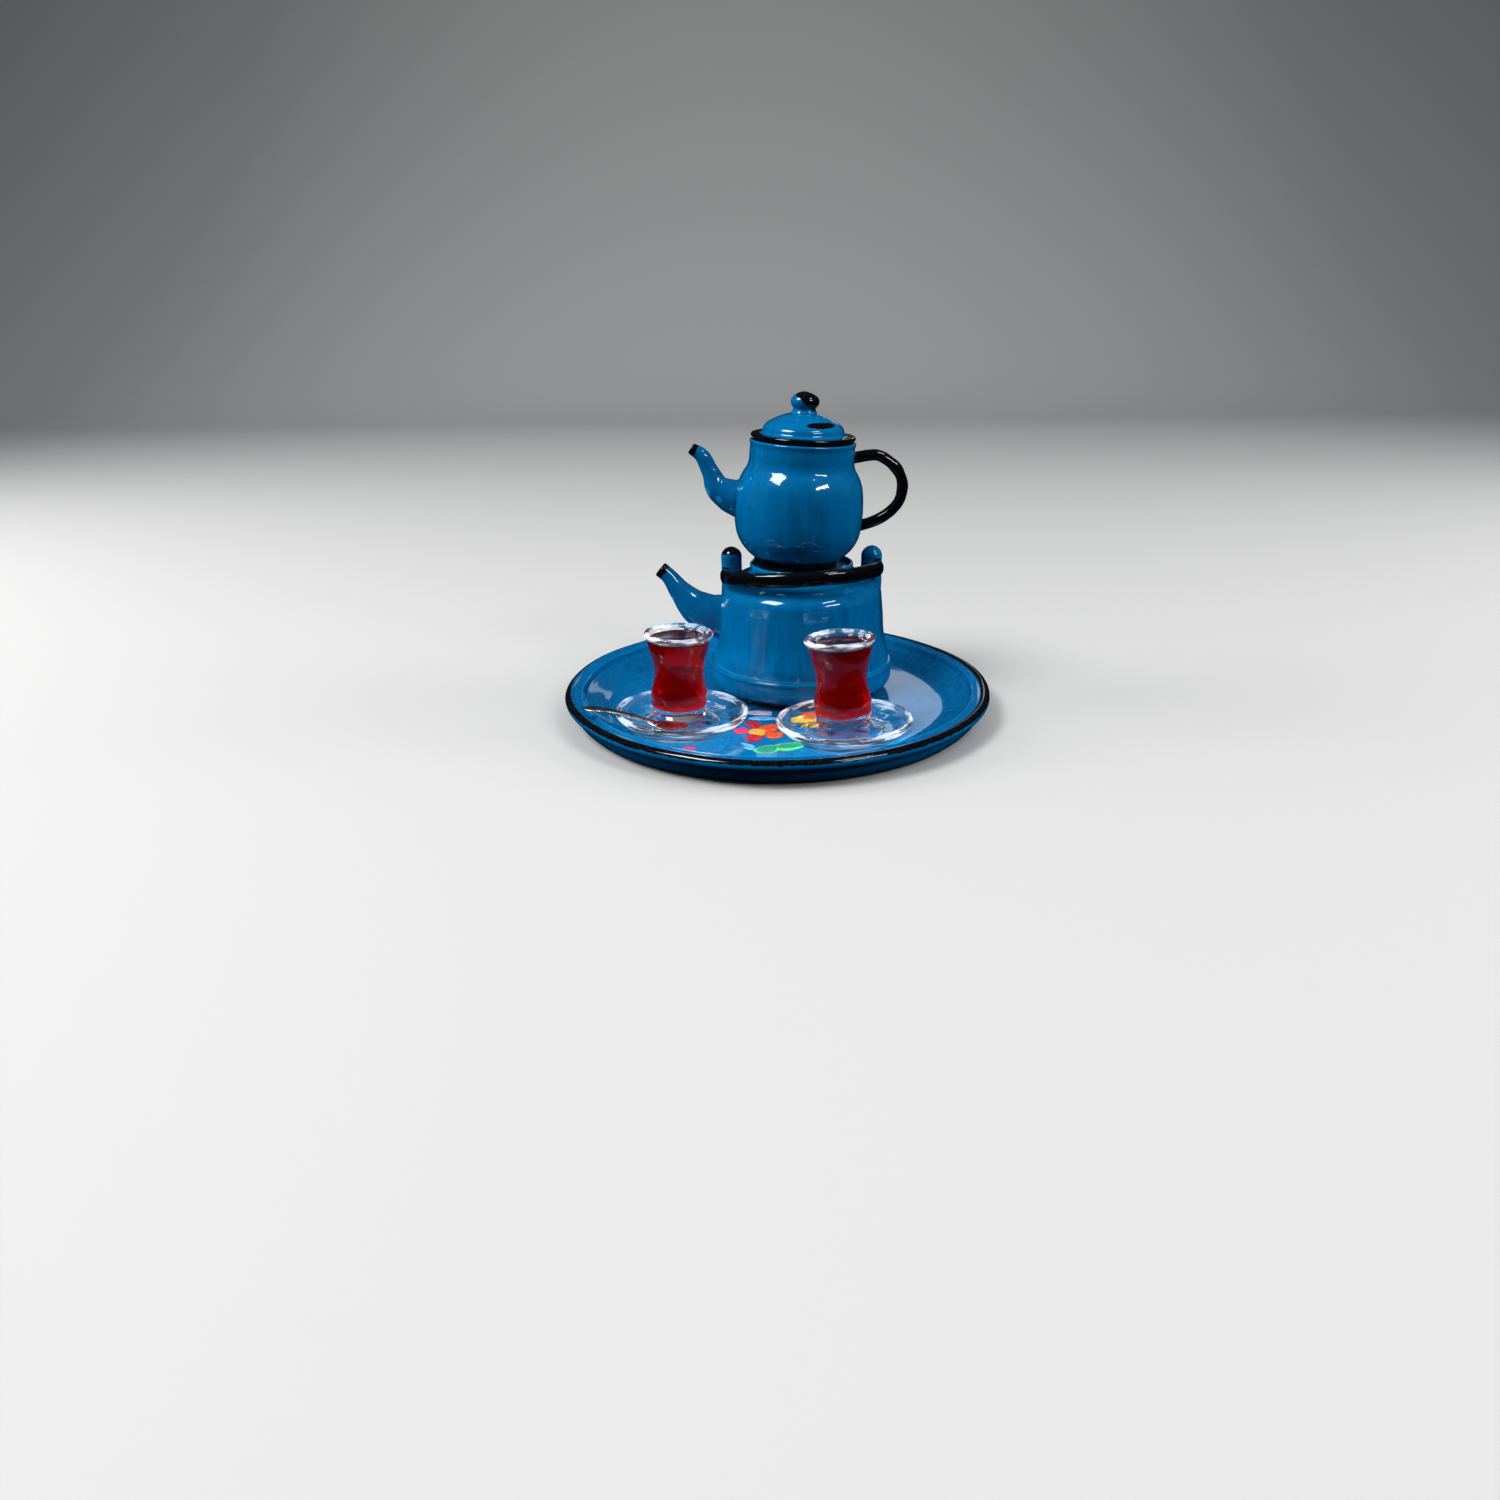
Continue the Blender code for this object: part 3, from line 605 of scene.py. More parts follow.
def make_kettle_base():
    outside = spline([(12.6, 2.26), (14.2, 2.3), (15.0, 2.85), (15.38, 3.7), (15.42, 4.7),
                      (15.36, 5.5), (15.46, 5.72)], 0.2)
    ridge = arc(15.12, 5.98, 0.42, -30, 90, 8)
    inside = line([(14.2, 6.4), (14.2, 3.3), (0.0, 3.0)], 1.0)
    bm = revolve(chain(line([(0.0, 2.25), (12.6, 2.26)], 1.5), outside, ridge, inside), 160)
    wobble(bm, 0.04, 5.0, 1.0)

    def edge(p):
        return 2.75 - p.z + 0.35 * noise.noise(Vector((p.x / 3, p.y / 3, 7.0)))

    make_piece("kettle_base_skin", bm, [KETTLE_BLUE], KETTLE_PLACE, "kettle", ["kettle_base"],
               edge)


def make_kettle_foot():
    outline = chain(line([(12.1, 2.24), (12.1, 1.5)]), arc(12.3, 1.5, 0.15, 180, 270, 4),
                    arc(13.25, 1.6, 0.25, -90, 0, 5), line([(13.5, 1.6), (13.5, 2.24)]))
    bm = revolve(outline, 140)
    wobble(bm, 0.05, 2.5, 2.0)
    make_piece("kettle_foot_skin", bm, [BLACK], KETTLE_PLACE, "kettle", ["kettle_foot_ring"],
               all_black)


def make_kettle_body():
    lower = spline([(14.95, 6.46), (14.82, 7.8), (14.4, 9.3), (14.02, 11.2), (13.78, 14.4),
                    (13.52, 17.0), (13.36, 18.2), (12.9, 19.05), (12.0, 19.85), (10.7, 20.6),
                    (9.3, 21.2), (8.75, 21.6), (8.6, 22.1)], 0.3)
    lip = chain(line([(8.6, 22.1), (8.6, 22.7)], 0.3), arc(8.33, 22.65, 0.26, 0, 180, 8))
    seat = line([(8.07, 22.6), (8.05, 22.15), (5.6, 22.15), (5.6, 21.5)], 0.5)
    inner = spline([(5.6, 21.5), (9.0, 20.4), (10.5, 19.7), (12.0, 18.7), (12.7, 17.6),
                    (13.0, 14.4), (13.25, 11.2), (13.65, 9.2), (14.0, 6.46)], 0.7)
    bm = revolve(chain(lower, lip, seat, inner), 180)
    wobble(bm, 0.06, 6.0, 3.0)
    make_piece("kettle_body_skin", bm, [KETTLE_BLUE], KETTLE_PLACE, "kettle", ["kettle_body"],
               all_blue)


def spout_rings(knots, wall):
    """Outer skin from root to mouth, over the lip and back down inside."""
    sides = 48
    fine = spline(knots, 0.3)
    outer = tube_rings(fine, sides)
    inner = tube_rings([Vector((*k[:3], k[3] - wall, k[4] - wall)) for k in fine], sides)
    ahead = Vector((fine[-1] - fine[-2])[:3]).normalized()
    lip = []
    for share in (0.15, 0.5, 0.85):
        bulge = ahead * (math.sin(share * math.pi) * 0.35 * wall)
        lip.append([a.lerp(b, share) + bulge for a, b in zip(outer[-1], inner[-1])])
    return outer + lip + inner[::-1]


def make_spout(name, knots, wall, mat, matrix, body, black_length, seed):
    """A hollow spout through (x, z, half width, half height) knots, black near its mouth."""
    rings = spout_rings([(x, 0.0, z, w, h) for x, z, w, h in knots], wall)
    bm = skin(rings, closed=True)
    wobble(bm, 0.06, 2.0, seed)
    mouth = Vector((knots[-1][0], 0.0, knots[-1][1]))

    def edge(p):
        return black_length - (p - mouth).length

    make_piece(name + "_skin", bm, [mat], matrix, body, [name], edge,
               sharp_deg=80.0)


def make_kettle_spout():
    knots = [(-13.0, 13.35, 3.5, 4.1), (-14.2, 13.6, 3.15, 3.7), (-15.6, 13.95, 3.0, 3.5),
             (-18.0, 15.4, 2.5, 2.9), (-20.4, 18.0, 1.75, 1.9), (-22.3, 20.6, 1.25, 1.35),
             (-23.6, 21.75, 1.15, 1.3)]
    make_spout("kettle_spout", knots, 0.4, KETTLE_BLUE, KETTLE_PLACE, "kettle", 1.5, 5.0)


def make_lug(word, side):
    """A stubby post with a ball top, and a slot in front for the handle's flat end."""
    outline = chain(line([(0.0, 17.6), (1.78, 17.6), (1.72, 19.5), (1.7, 23.7)], 0.3),
                    arc(0.0, 23.75, 1.72, 0, 90, 14))
    bm = revolve(outline, 48)
    wobble(bm, 0.07, 1.6, 6.0 + side)
    bmesh.ops.translate(bm, vec=(side * 11.67, 0, 0), verts=bm.verts)
    obj = make_piece("kettle_lug_skin_" + word, bm, [KETTLE_BLUE], KETTLE_PLACE, "kettle",
                     ["kettle_lug_" + word],
                     lambda p: p.z - 24.9 - 0.5 * side)
    low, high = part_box("bail_pin_" + word)
    slot_floor = (low.z + high.z) / 2 / MM - 1.02
    slot_height = 2.47
    slot = bmesh.new()
    size = Matrix.Diagonal((1.0, 4.0, slot_height, 1))
    place = Matrix.Translation((side * TONGUE_OFFSET, -1.0, slot_floor + slot_height / 2))
    bmesh.ops.create_cube(slot, size=1.0, matrix=place @ size)
    carve(obj, slot)


def carve(obj, tool_bm):
    """Cut a millimetre shape, given in obj's own frame, out of obj and keep the result."""
    bmesh.ops.scale(tool_bm, vec=(MM, MM, MM), verts=tool_bm.verts)
    mesh = bpy.data.meshes.new("tool")
    tool_bm.to_mesh(mesh)
    tool_bm.free()
    tool = bpy.data.objects.new("tool", mesh)
    bpy.context.scene.collection.objects.link(tool)
    tool.matrix_world = obj.matrix_world
    modifier = obj.modifiers.new("carve", "BOOLEAN")
    modifier.operation = "DIFFERENCE"
    modifier.solver = "EXACT"
    modifier.object = tool
    bpy.context.view_layer.update()
    graph = bpy.context.evaluated_depsgraph_get()
    result = bpy.data.meshes.new_from_object(obj.evaluated_get(graph))
    obj.modifiers.clear()
    obj.data = result
    bpy.data.objects.remove(tool)


def make_pins():
    for word, side in (("left", -1), ("right", 1)):
        rings = []
        for x, r in ((11.22, 0.34), (13.2, 0.34), (13.34, 0.3), (13.38, 0.18)):
            rings.append(oval(Vector((side * x, 0.0, 0.0)), Vector((0.0, r, 0.0)),
                              Vector((0.0, 0.0, r)), 24))
        make_piece("bail_pin_skin_" + word, skin(rings), [STEEL], HANDLE_PLACE, "kettle",
                   ["bail_pin_" + word])


def make_bail():
    """The kettle's handle: half a ring of bar, and a flat tongue behind each of its ends."""
    straight = 2.2
    radius = 12.66
    steps = 60
    end_shares = (0.84, 0.96)
    knots = []
    for i in range(steps + 1):
        angle = math.pi * i / steps
        x = -radius * math.cos(angle)
        y = -straight - (radius - straight) * math.sin(angle)
        lift = 0.12 * noise.noise(Vector((i * 0.13, 0.0, 5.0)))
        width = 0.86 + 0.06 * noise.noise(Vector((i * 0.09, 3.0, 0.0)))
        depth = 1.18 + 0.07 * noise.noise(Vector((i * 0.15, 9.0, 0.0)))
        end = min(i, steps - i)
        if end < len(end_shares):
            width *= end_shares[end]
            depth *= end_shares[end]
        knots.append(Vector((x, y, lift, depth, width)))
    bm = skin(flat_rings(knots, 28))
    wobble(bm, 0.07, 1.3, 8.0)
    make_piece("bail_skin", bm, [BLACK], HANDLE_PLACE, "bail", ["bail_handle"],
               all_black, sharp_deg=70.0)
    outline = [(-3.2, -0.85), (0.0, -0.88)]
    outline += arc(0.0, 0.0, 0.88, -80, 80, 10)
    outline += [(0.0, 0.88), (-3.2, 0.85)]
    for word, side in (("left", -1), ("right", 1)):
        rings = []
        for x in (TONGUE_OFFSET - 0.39, TONGUE_OFFSET + 0.39):
            rings.append([Vector((side * x, y, z)) for y, z in outline])
        make_piece("bail_tongue_skin_" + word, skin(rings), [BLACK], HANDLE_PLACE, "bail", (),
                   all_black)


# ---------------------------------------------------------------- teapot

def make_teapot():
    foot_height = 0.05
    place = shifted_up(turned_frame("teapot_foot_ring"), -foot_height)
    foot = chain(line([(5.7, 1.22), (5.7, 0.25)], 0.3), arc(5.9, 0.25, 0.2, 180, 270, 4),
                 arc(6.7, 0.3, 0.25, -90, 0, 5), line([(6.95, 0.4), (7.0, 1.22)], 0.3))
    bm = revolve(foot, 120)
    wobble(bm, 0.05, 1.8, 11.0)
    make_piece("teapot_foot_skin", bm, [BLACK], place, "teapot", ["teapot_foot_ring"],
               all_black)

    wall = spline([(7.1, 1.2), (8.25, 2.15), (9.3, 3.4), (10.05, 4.9), (10.42, 6.9), (10.5, 9.0),
                   (10.4, 11.2), (10.05, 13.3), (9.4, 14.8), (8.78, 15.8), (8.54, 16.6),
                   (8.47, 18.0), (8.42, 19.2), (8.55, 19.72)], 0.25)
    lip = arc(8.28, 19.76, 0.27, 0, 180, 8)
    inside = spline([(8.0, 19.7), (7.75, 19.0), (7.7, 16.9), (8.3, 15.4), (9.4, 13.1),
                     (9.85, 9.0), (9.5, 5.3), (8.5, 3.3), (6.8, 1.95)], 0.7)
    floor = line([(6.8, 1.95), (0.0, 1.8)], 1.0)
    bm = revolve(chain(line([(0.0, 1.2), (7.1, 1.2)], 1.0), wall, lip, inside, floor), 180)
    wobble(bm, 0.07, 5.0, 12.0)

    def edge(p):
        ragged = 0.4 * noise.noise(Vector((p.x / 2, p.y / 2, 3.0)))
        return 1.95 - p.z + ragged if p.z < 6.0 else ALL_BLUE

    make_piece("teapot_body_skin", bm, [TEAPOT_BLUE], place, "teapot", ["teapot_body"],
               edge)

    knots = [(-9.0, 10.25, 3.0, 3.5), (-10.0, 10.4, 2.65, 3.1), (-11.5, 10.8, 2.3, 2.7),
             (-13.5, 12.1, 1.8, 2.05), (-14.75, 14.5, 1.3, 1.4), (-16.2, 16.9, 1.1, 1.2),
             (-17.85, 17.95, 0.85, 0.9)]
    make_spout("teapot_spout", knots, 0.36, TEAPOT_BLUE, place, "teapot", 1.25, 13.0)

    path = [(8.2, 17.6), (9.3, 17.85), (12.0, 18.25), (14.5, 17.1), (15.95, 15.5),
            (16.55, 13.5), (16.35, 11.5), (15.4, 9.9), (13.25, 8.1), (10.6, 7.0), (9.9, 6.8)]
    fine = spline([(x, 0.0, z, 0.9, 0.9) for x, z in path], 0.3)
    for i, knot in enumerate(fine):
        knot[1] += 0.1 * noise.noise(Vector((i * 0.08, 1.0, 2.0)))
        swell = 1.0 + 0.06 * noise.noise(Vector((i * 0.16, 5.0, 1.0)))
        knot[3] *= swell
        knot[4] *= swell
    bm = skin(tube_rings(fine, 32))
    wobble(bm, 0.07, 1.8, 14.0)
    make_piece("teapot_handle_skin", bm, [BLACK], place, "teapot", ["teapot_handle"],
               lambda p: 0.55 + (p.x - 9.5) * 0.5, sharp_deg=70.0)


def make_lid():
    flange_height = 18.9
    place = shifted_up(turned_frame("lid"), -flange_height)
    rim = chain([(7.75, 20.2)], arc(8.1, 20.68, 0.33, -75, 90, 10))
    dome = spline([(8.1, 21.01), (7.4, 21.0), (6.95, 21.06), (6.65, 21.32), (6.45, 21.95),
                   (5.85, 22.62), (4.75, 23.25), (3.3, 23.87), (2.2, 24.2), (1.4, 24.32),
                   (0.75, 24.35)], 0.2)
    under = line([(0.75, 23.7), (3.0, 23.35), (5.4, 22.05), (6.2, 20.8), (6.9, 20.0),
                  (6.9, flange_height), (7.45, flange_height), (7.45, 20.05), (7.75, 20.2)], 0.5)
    bm = revolve(chain(rim, dome, under), 160)
    wobble(bm, 0.05, 3.0, 21.0)

    def edge(p):
        r = math.hypot(p.x, p.y)
        # Painted reflection: black on the front of the dome where a dark thing mirrors in the
        # glaze; the rim band is real black paint.
        dark_reflection = 1.0 - math.hypot((p.x - 2.6) / 2.3, (p.z - 22.85) / 0.4)
        return max(min(r - 7.1, 21.35 - p.z) * 1.5, dark_reflection if p.y < 0.0 else ALL_BLUE)

    make_piece("lid_skin", bm, [TEAPOT_BLUE], place, "lid", ["lid"], edge)
    neck = spline([(0.68, 24.1), (2.05, 24.3), (1.85, 24.6), (1.8, 24.85)], 0.15)
    centre = Vector((0.0, 0.0, 26.0))
    ball = [Vector((p.x, centre.z + p.y * 0.66)) for p in arc(0.0, 0.0, 2.28, -40, 90, 22)]
    bm = revolve(chain(line([(0.0, 22.7), (0.68, 22.7), (0.68, 24.1)], 0.4), neck, ball), 64)
    wobble(bm, 0.12, 1.8, 22.0)
    facing = Vector((0.62, -0.1, 0.78)).normalized()

    def knob_edge(p):
        return (p - centre).dot(facing) + 0.05

    make_piece("knob_skin", bm, [TEAPOT_BLUE], place, "lid", ["lid_knob"],
               knob_edge)


# ---------------------------------------------------------------- glasses, saucers, spoon

def make_saucer(word, seed):
    """A clear saucer; its lip carries pale painted highlights, and its slope a few."""
    under = chain(line([(0.0, 0.3), (5.6, 0.3)], 0.8),
                  spline([(5.6, 0.3), (5.85, 0.06), (6.4, 0.0), (7.9, 0.0), (8.3, 0.28),
                          (9.5, 1.35), (10.2, 2.0)], 0.25))
    lip = arc(10.02, 2.5, 0.39, -35, 170, 12)
    top = chain(spline([(9.63, 2.55), (9.2, 2.15), (8.4, 1.5), (7.6, 1.18), (6.9, 1.12)], 0.25),
                line([(6.9, 1.12), (0.0, 1.12)], 0.8))
    bm = revolve(chain(under, lip, top), 140)
    wobble(bm, 0.09, 2.2, seed)

    # Share of painted highlight: full on the lip, a little on the slope.
    def pale(p):
        r = math.hypot(p.x, p.y)
        return max((r - 9.6) / 0.3, 0.16 if r > 5.0 else 0.0)

    saucer = "saucer_" + word
    make_piece("saucer_skin_" + word, bm, [GLASS], turned_frame(saucer), saucer, [saucer],
               pale, sharp_deg=80.0)


def make_glass(word, seed):
    """A waisted glass and its tea, warped alike so that the tea's side stays within the wall."""
    outside = spline([(3.6, 0.0), (4.0, 0.06), (4.16, 0.35), (4.22, 1.1), (4.38, 2.6),
                      (4.38, 4.2), (3.97, 6.0), (3.87, 7.3), (4.12, 9.2), (4.66, 11.2),
                      (4.98, 12.6)], 0.25)
    lip = arc(4.93, 13.33, 0.43, -25, 200, 12)
    inside = spline([(4.47, 13.0), (4.27, 11.9), (3.67, 9.2), (3.35, 7.3), (3.47, 6.0), (3.87, 4.2),
                     (3.87, 2.8), (3.5, 1.95), (2.6, 1.76)], 0.3)
    base = line([(0.0, 0.0), (3.6, 0.0)], 0.8)
    floor = line([(2.6, 1.76), (0.0, 1.72)], 0.8)
    bm = revolve(chain(base, outside, lip, inside, floor), 110)
    bmesh.ops.recalc_face_normals(bm, faces=bm.faces)
    glass = "glass_" + word
    for face in bm.faces:
        centre = face.calc_center_median()
        inward = face.normal.x * centre.x + face.normal.y * centre.y < 0.0
        if 1.6 < centre.z < TEA_LEVEL and (inward or face.normal.z > 0.9):
            face.material_index = 1
    warp(bm, 0.09, 3.0, seed)
    place = turned_frame(glass)
    # The edge value rises towards the lip, where painted highlights show as pale streaks.
    make_piece("glass_skin_" + word, bm, [GLASS, WET_GLASS], place, glass, [glass],
               lambda p: (p.z - 12.9) / 0.5, sharp_deg=80.0)
    middle = TEA_LEVEL - 0.14
    fill = chain(line([(0.0, 1.66), (2.6, 1.7)], 0.8),
                 spline([(2.6, 1.7), (3.58, 1.88), (3.95, 2.8), (3.95, 4.2), (3.55, 6.0),
                         (3.43, 7.3), (3.75, 9.2), (4.33, 11.6), (4.5, TEA_LEVEL)], 0.3),
                 spline([(4.5, TEA_LEVEL), (4.2, TEA_LEVEL - 0.08), (3.6, TEA_LEVEL - 0.12),
                         (2.5, middle)], 0.2),
                 line([(2.5, middle), (0.0, middle)], 0.6))
    bm = revolve(fill, 96)
    for face in bm.faces:
        if face.calc_center_median().z < middle - 0.02:
            face.material_index = 1
    warp(bm, 0.09, 3.0, seed)
    make_piece("tea_skin_" + word, bm, [TEA, TEA_SIDE], place, glass, ["tea_" + word],
               sharp_deg=60.0)


def make_spoon():
    """A spoon through (distance, height, half width, half height) knots, hollowed in its bowl."""
    knots = [(-0.9, 3.75, 0.4, 0.12), (-0.5, 3.68, 1.0, 0.16), (0.2, 3.6, 1.5, 0.2),
             (1.6, 3.5, 1.9, 0.22), (3.2, 3.6, 1.6, 0.22), (4.5, 3.85, 0.95, 0.26),
             (5.4, 4.05, 0.72, 0.36), (8.2, 4.78, 0.66, 0.36), (11.6, 5.34, 0.7, 0.34),
             (13.2, 5.5, 0.9, 0.3), (14.4, 5.58, 1.0, 0.26), (15.4, 5.62, 0.75, 0.2),
             (15.9, 5.63, 0.3, 0.1)]
    fine = spline([(s + 0.6, 0.0, z, w, h) for s, z, w, h in knots], 0.2)
    rings = tube_rings(fine, 36)
    for knot, ring in zip(fine, rings):
        hollow = 0.3 * max(0.0, 1.0 - ((knot[0] - 2.4) / 2.6) ** 2)
        for point in ring:
            share = 1.0 - min(1.0, abs(point.y) / max(knot[3], 0.01)) ** 2
            point.z -= hollow * (share - 0.35)
    bm = skin(rings)
    wobble(bm, 0.05, 1.4, 41.0)
    make_piece("spoon_skin", bm, [SILVER], spoon_frame(), "spoon", ["spoon"],
               sharp_deg=60.0)


# ---------------------------------------------------------------- painted flowers

def dab(outline, height, seed):
    """A thin domed dab of paint on the tray's floor; outline is (x, y) knots in millimetres."""
    ring = spline(outline + outline[:1], 0.25)[:-1]
    centre = sum(ring, Vector((0.0, 0.0))) / len(ring)
    bm = bmesh.new()
    floor = TRAY_FLOOR - 0.05
    levels = [(1.0, floor), (1.0, TRAY_FLOOR + height * 0.35), (0.93, TRAY_FLOOR + height * 0.8),
              (0.75, TRAY_FLOOR + height), (0.4, TRAY_FLOOR + height * 0.85)]
    rings = []
    for share, z in levels:
        made = []
        for p in ring:
            q = centre + (p - centre) * share
            rise = 0.03 * noise.noise(Vector((q.x * 2, q.y * 2, seed)))
            made.append(bm.verts.new((q.x, q.y, z + (rise if share < 1.0 else 0.0))))
        rings.append(made)
    count = len(ring)
    for first, second in zip(rings, rings[1:]):
        for k in range(count):
            n = (k + 1) % count
            bm.faces.new((first[k], first[n], second[n], second[k]))
    top = bm.verts.new((centre.x, centre.y, TRAY_FLOOR + height * 0.8))
    low = bm.verts.new((centre.x, centre.y, floor))
    for k in range(count):
        n = (k + 1) % count
        bm.faces.new((rings[-1][k], rings[-1][n], top))
        bm.faces.new((rings[0][n], rings[0][k], low))
    return bm


def petal(cx, cy, length, width, angle_deg, point=0.0):
    """Leaf-shaped outline; point narrows the far end."""
    angle = math.radians(angle_deg)
    along = Vector((math.cos(angle), math.sin(angle)))
    across = Vector((-along.y, along.x))
    outline = []
    for k in range(10):
        turn = math.tau * k / 10
        u = math.cos(turn)
        v = math.sin(turn) * (1.0 - point * max(0.0, u))
        outline.append(Vector((cx, cy)) + along * u * length / 2 + across * v * width / 2)
    return outline


def make_flowers():
    """Ragged dabs on the tray's floor: a flower, a leaf pair, buds and loose strokes."""
    orange = flower_paint("paint_orange", (0.62, 0.05, 0.01), (0.78, 0.15, 0.01))
    red = flower_paint("paint_red", (0.28, 0.006, 0.015), (0.62, 0.02, 0.02))
    pink = flower_paint("paint_pink", (0.62, 0.03, 0.09), (0.45, 0.06, 0.16))
    ochre = flower_paint("paint_ochre", (0.72, 0.30, 0.02), (0.85, 0.45, 0.05), 0.5)
    yellow = flower_paint("paint_yellow", (0.85, 0.65, 0.01), (0.85, 0.45, 0.02), 0.6)
    brown = flower_paint("paint_brown", (0.35, 0.08, 0.02), (0.62, 0.16, 0.04), 0.6)
    green = flower_paint("paint_green", (0.0, 0.20, 0.22), (0.02, 0.34, 0.14), 0.5)
    mint = flower_paint("paint_mint", (0.06, 0.50, 0.12), (0.16, 0.64, 0.24), 0.5)
    lilac = flower_paint("paint_lilac", (0.45, 0.42, 0.66), (0.66, 0.62, 0.80), 0.6)
    sky = flower_paint("paint_sky", (0.08, 0.38, 0.72), (0.25, 0.55, 0.82), 0.7)
    dabs = [
        ("stroke_lilac", lilac, petal(-2.8, -7.0, 3.6, 1.7, 172), 0.10),
        ("stroke_sky", sky, petal(-2.3, -9.4, 3.8, 1.3, 175), 0.08),
        ("petal_top", red, petal(-3.8, -12.0, 2.5, 2.0, 120), 0.13),
        ("petal_left", pink, petal(-5.4, -14.9, 2.3, 2.2, 190), 0.13),
        ("petal_low_left", red, petal(-3.5, -18.0, 2.7, 2.0, 250), 0.14),
        ("petal_right", orange, petal(-1.1, -13.8, 2.6, 2.4, 40), 0.15),
        ("petal_low_right", orange, petal(-0.5, -16.6, 2.4, 2.2, 320), 0.15),
        ("flower_centre", ochre, petal(-3.0, -15.5, 2.1, 2.3, 90), 0.22),
        ("leaf_left_edge", mint, petal(-1.5, -22.6, 3.5, 2.8, 200, 0.3), 0.09),
        ("leaf_left", green, petal(-1.5, -22.5, 2.8, 2.1, 200, 0.3), 0.13),
        ("leaf_right_edge", mint, petal(1.9, -21.4, 4.4, 2.6, 15, 0.4), 0.09),
        ("leaf_right", green, petal(1.9, -21.3, 3.6, 1.9, 15, 0.4), 0.13),
        ("streak_pale_1", sky, petal(-4.4, -20.8, 2.2, 0.7, 140), 0.08),
        ("streak_pale_2", sky, petal(-4.0, -22.2, 2.0, 0.6, 150), 0.08),
        ("bud_yellow_1", yellow, petal(3.4, -11.9, 3.0, 2.5, 100), 0.14),
        ("bud_yellow_2", yellow, petal(5.9, -13.4, 3.0, 2.2, 330), 0.14),
        ("bud_orange", orange, petal(5.2, -9.3, 3.0, 2.0, 10), 0.15),
        ("bud_brown", brown, petal(5.4, -11.4, 2.6, 1.7, 350), 0.17),
        ("speck_pink_left", pink, petal(-13.2, -22.2, 1.5, 2.0, 70), 0.09),
        ("speck_red_right", red, petal(13.4, -24.0, 1.5, 1.2, 0), 0.09),
    ]
    for seed, (name, mat, outline, height) in enumerate(dabs):
        ragged = []
        centre = sum(outline, Vector((0.0, 0.0))) / len(outline)
        for k, p in enumerate(outline):
            push = 1.24 + 0.45 * noise.noise(Vector((k * 0.9, seed * 2.3, 0.0)))
            ragged.append(centre + (p - centre) * push)
        make_piece("paint_" + name, dab(ragged, height, seed), [mat], Matrix.Identity(4), "tray",
                   ())


# ---------------------------------------------------------------- stage, light, camera

def make_stage():
    """A pale sweep, in metres, that runs up behind the set and lies just under the tray."""
    bend_start, bend = 0.45, 0.25
    half_width = 1.6
    gap = 0.02 * MM
    profile = [(-1.2, 0.0), (bend_start, 0.0)]
    for i in range(1, 13):
        angle = math.radians(90 * i / 12)
        profile.append((bend_start + bend * math.sin(angle), bend - bend * math.cos(angle)))
    profile.append((bend_start + bend, 1.2))
    bm = bmesh.new()
    left = [bm.verts.new((-half_width, y, z - gap)) for y, z in profile]
    right = [bm.verts.new((half_width, y, z - gap)) for y, z in profile]
    for a, b, c, d in zip(left, left[1:], right[1:], right):
        bm.faces.new((a, d, c, b))
    mesh = bpy.data.meshes.new("sweep")
    bm.to_mesh(mesh)
    bm.free()
    mesh.shade_smooth()
    mat, _, shader = new_material("sweep_look")
    shader.inputs["Base Color"].default_value = (0.50, 0.495, 0.485, 1.0)
    shader.inputs["Roughness"].default_value = 0.75
    mesh.materials.append(mat)
    sweep = bpy.data.objects.new("sweep", mesh)
    bpy.context.scene.collection.objects.link(sweep)
    sweep.visible_glossy = False
    sweep.visible_diffuse = False


def area_light(name, place, target, size, power):
    """A white rectangle of light at place, facing target; metres and watts."""
    data = bpy.data.lights.new(name, "AREA")
    data.shape = "RECTANGLE"
    data.size, data.size_y = size
    data.energy = power
    light = bpy.data.objects.new(name, data)
    bpy.context.scene.collection.objects.link(light)
    aim = (Vector(target) - Vector(place)).to_track_quat("-Z", "Y")
    light.matrix_world = Matrix.Translation(place) @ aim.to_matrix().to_4x4()
    return light


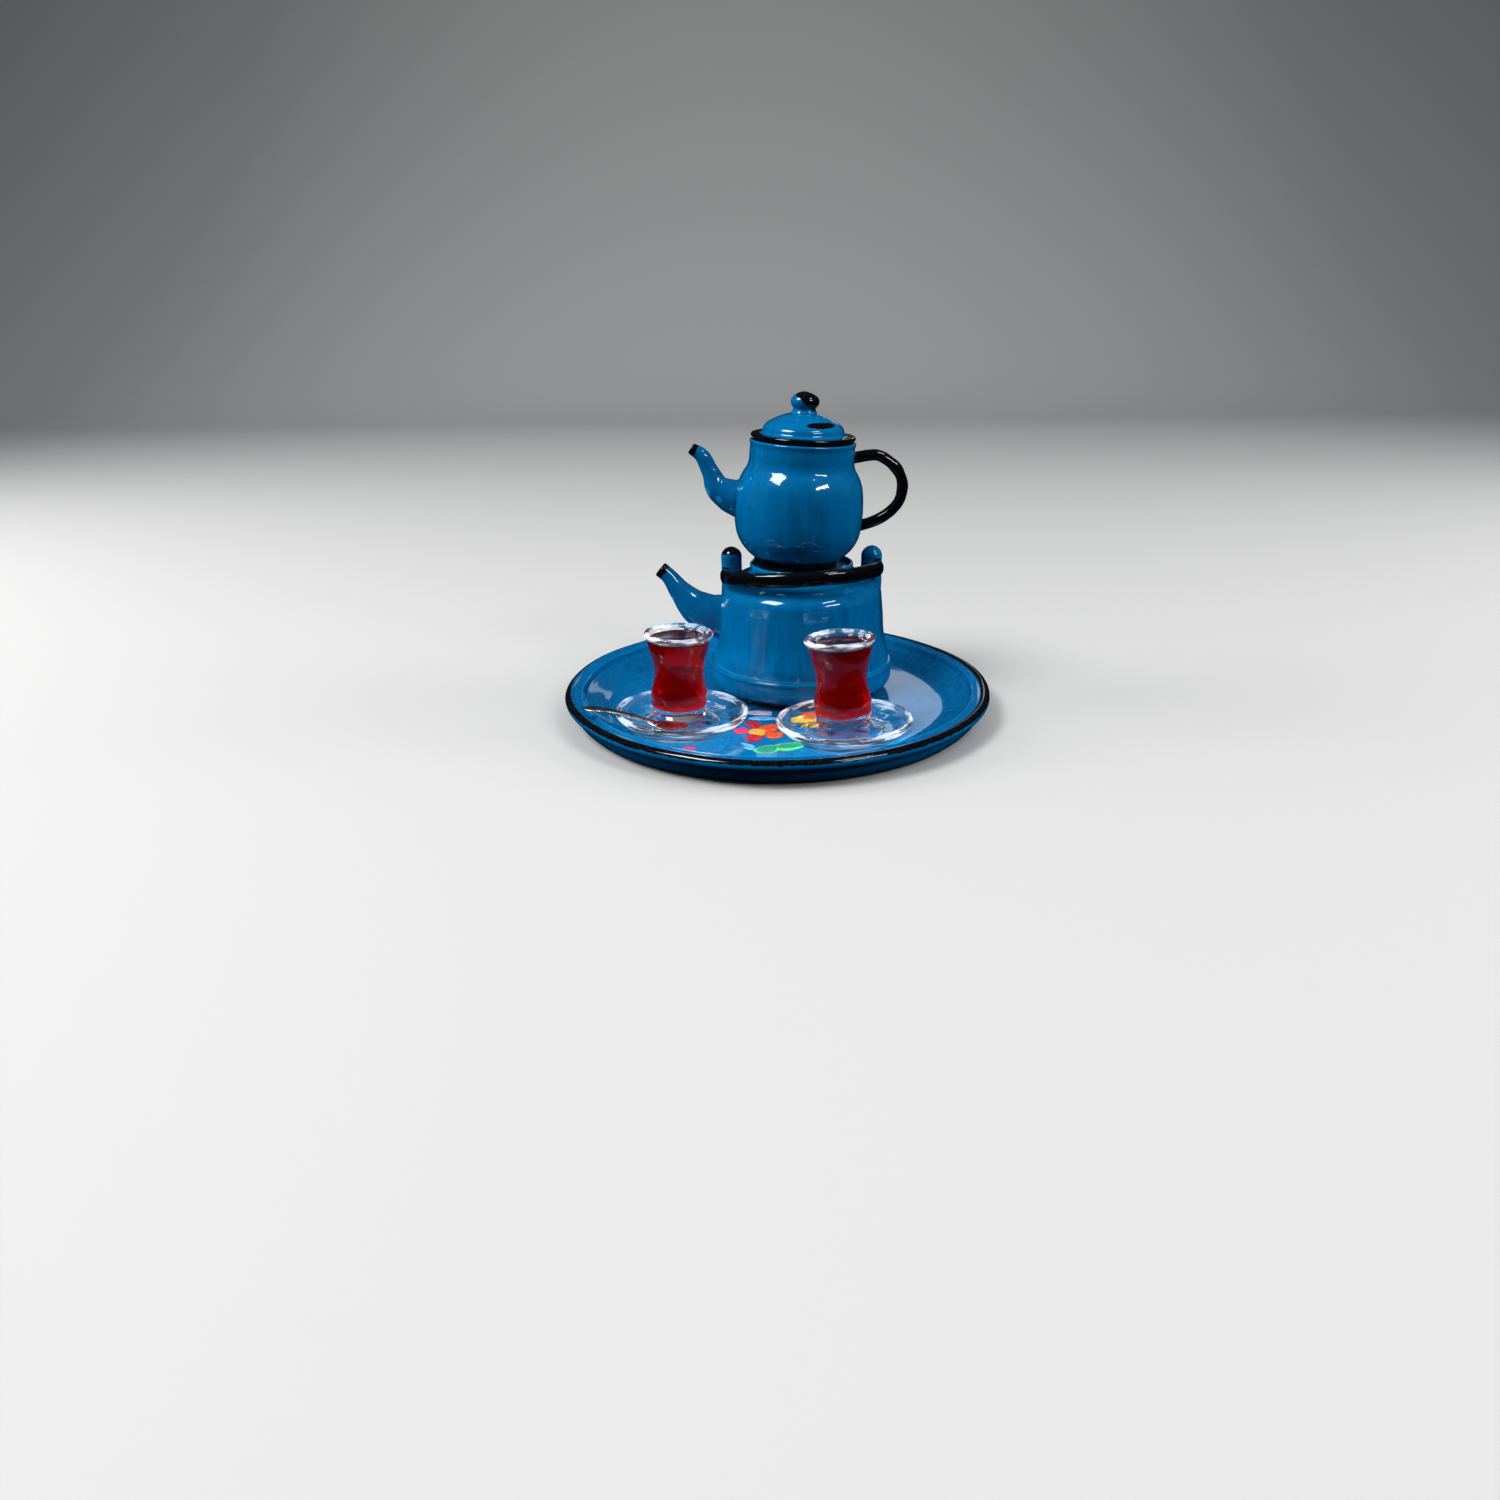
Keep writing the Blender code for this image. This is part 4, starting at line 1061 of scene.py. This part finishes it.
def make_light():
    """A dim sky that reflections see at a quarter strength, a window and fills around the set."""
    scene = bpy.context.scene
    world = bpy.data.worlds.new("studio")
    scene.world = world
    world.use_nodes = True
    tree = world.node_tree
    sky = tree.nodes["Background"]
    sky.inputs["Color"].default_value = (0.70, 0.85, 1.0, 1.0)
    coords = tree.nodes.new("ShaderNodeTexCoord")
    parts = tree.nodes.new("ShaderNodeSeparateXYZ")
    tree.links.new(coords.outputs["Generated"], parts.inputs["Vector"])
    glow = ramp(tree, parts.outputs["Z"], -0.25, 0.6, 0.01, 0.15)
    path = tree.nodes.new("ShaderNodeLightPath")
    dim = math_node(tree, "MULTIPLY", path.outputs["Is Glossy Ray"], -0.75)
    dim = math_node(tree, "ADD", dim, 1.0)
    tree.links.new(math_node(tree, "MULTIPLY", glow, dim), sky.inputs["Strength"])
    middle = (0.0, 0.0, 0.02)
    area_light("window", (-0.30, -0.18, 0.45), middle, (0.23, 0.19), 2.2)
    fills = (("ceiling", (0.05, 0.12, 0.55), (0.5, 0.5), 0.6),
             ("fill_left", (-0.42, 0.03, 0.16), (0.2, 0.3), 1.3),
             ("fill_right", (0.42, 0.03, 0.16), (0.2, 0.3), 1.1))
    for name, place, size, power in fills:
        fill = area_light(name, place, middle, size, power)
        fill.visible_glossy = False
    pots = (0.0, 0.0, 0.03)
    area_light("strip_right", (0.27, -0.24, 0.27), pots, (0.16, 0.035), 0.4)
    area_light("strip_high", (0.22, -0.14, 0.42), pots, (0.15, 0.03), 0.3)
    tray_right = (0.02, 0.0, 0.0)
    board = area_light("board_behind", (0.058, 0.30, 0.105), tray_right, (0.06, 0.035), 0.006)
    board.visible_diffuse = False
    scene.view_settings.view_transform = "Standard"
    scene.view_settings.look = "Medium High Contrast"


def make_camera():
    """Looks down at the set from in front; place is millimetres, angles are radians."""
    place = Vector((0.098, -176.103, 64.532))
    yaw, pitch, roll = -0.02689, 0.39087, -0.01449
    ahead = Vector((math.sin(yaw) * math.cos(pitch), math.cos(yaw) * math.cos(pitch),
                    -math.sin(pitch)))
    right = Vector((math.cos(yaw), -math.sin(yaw), 0.0))
    up = right.cross(ahead)
    right, up = (math.cos(roll) * right + math.sin(roll) * up,
                 -math.sin(roll) * right + math.cos(roll) * up)
    data = bpy.data.cameras.new("camera")
    data.lens = 26.6376
    data.sensor_width = 36.0
    data.clip_start = 0.005
    camera = bpy.data.objects.new("camera", data)
    bpy.context.scene.collection.objects.link(camera)
    turn = Matrix((right, up, -ahead)).transposed().to_4x4()
    camera.matrix_world = Matrix.Translation(place * MM) @ turn
    bpy.context.scene.camera = camera


# ---------------------------------------------------------------- build

make_tray()
make_flowers()
make_kettle_base()
make_kettle_foot()
make_kettle_body()
make_kettle_spout()
for word, side in (("left", -1), ("right", 1)):
    make_lug(word, side)
make_pins()
make_bail()
make_teapot()
make_lid()
for word, seed in (("left", 31.0), ("right", 32.0)):
    make_saucer(word, seed)
    make_glass(word, seed + 5.0)
make_spoon()
make_stage()
make_light()
make_camera()
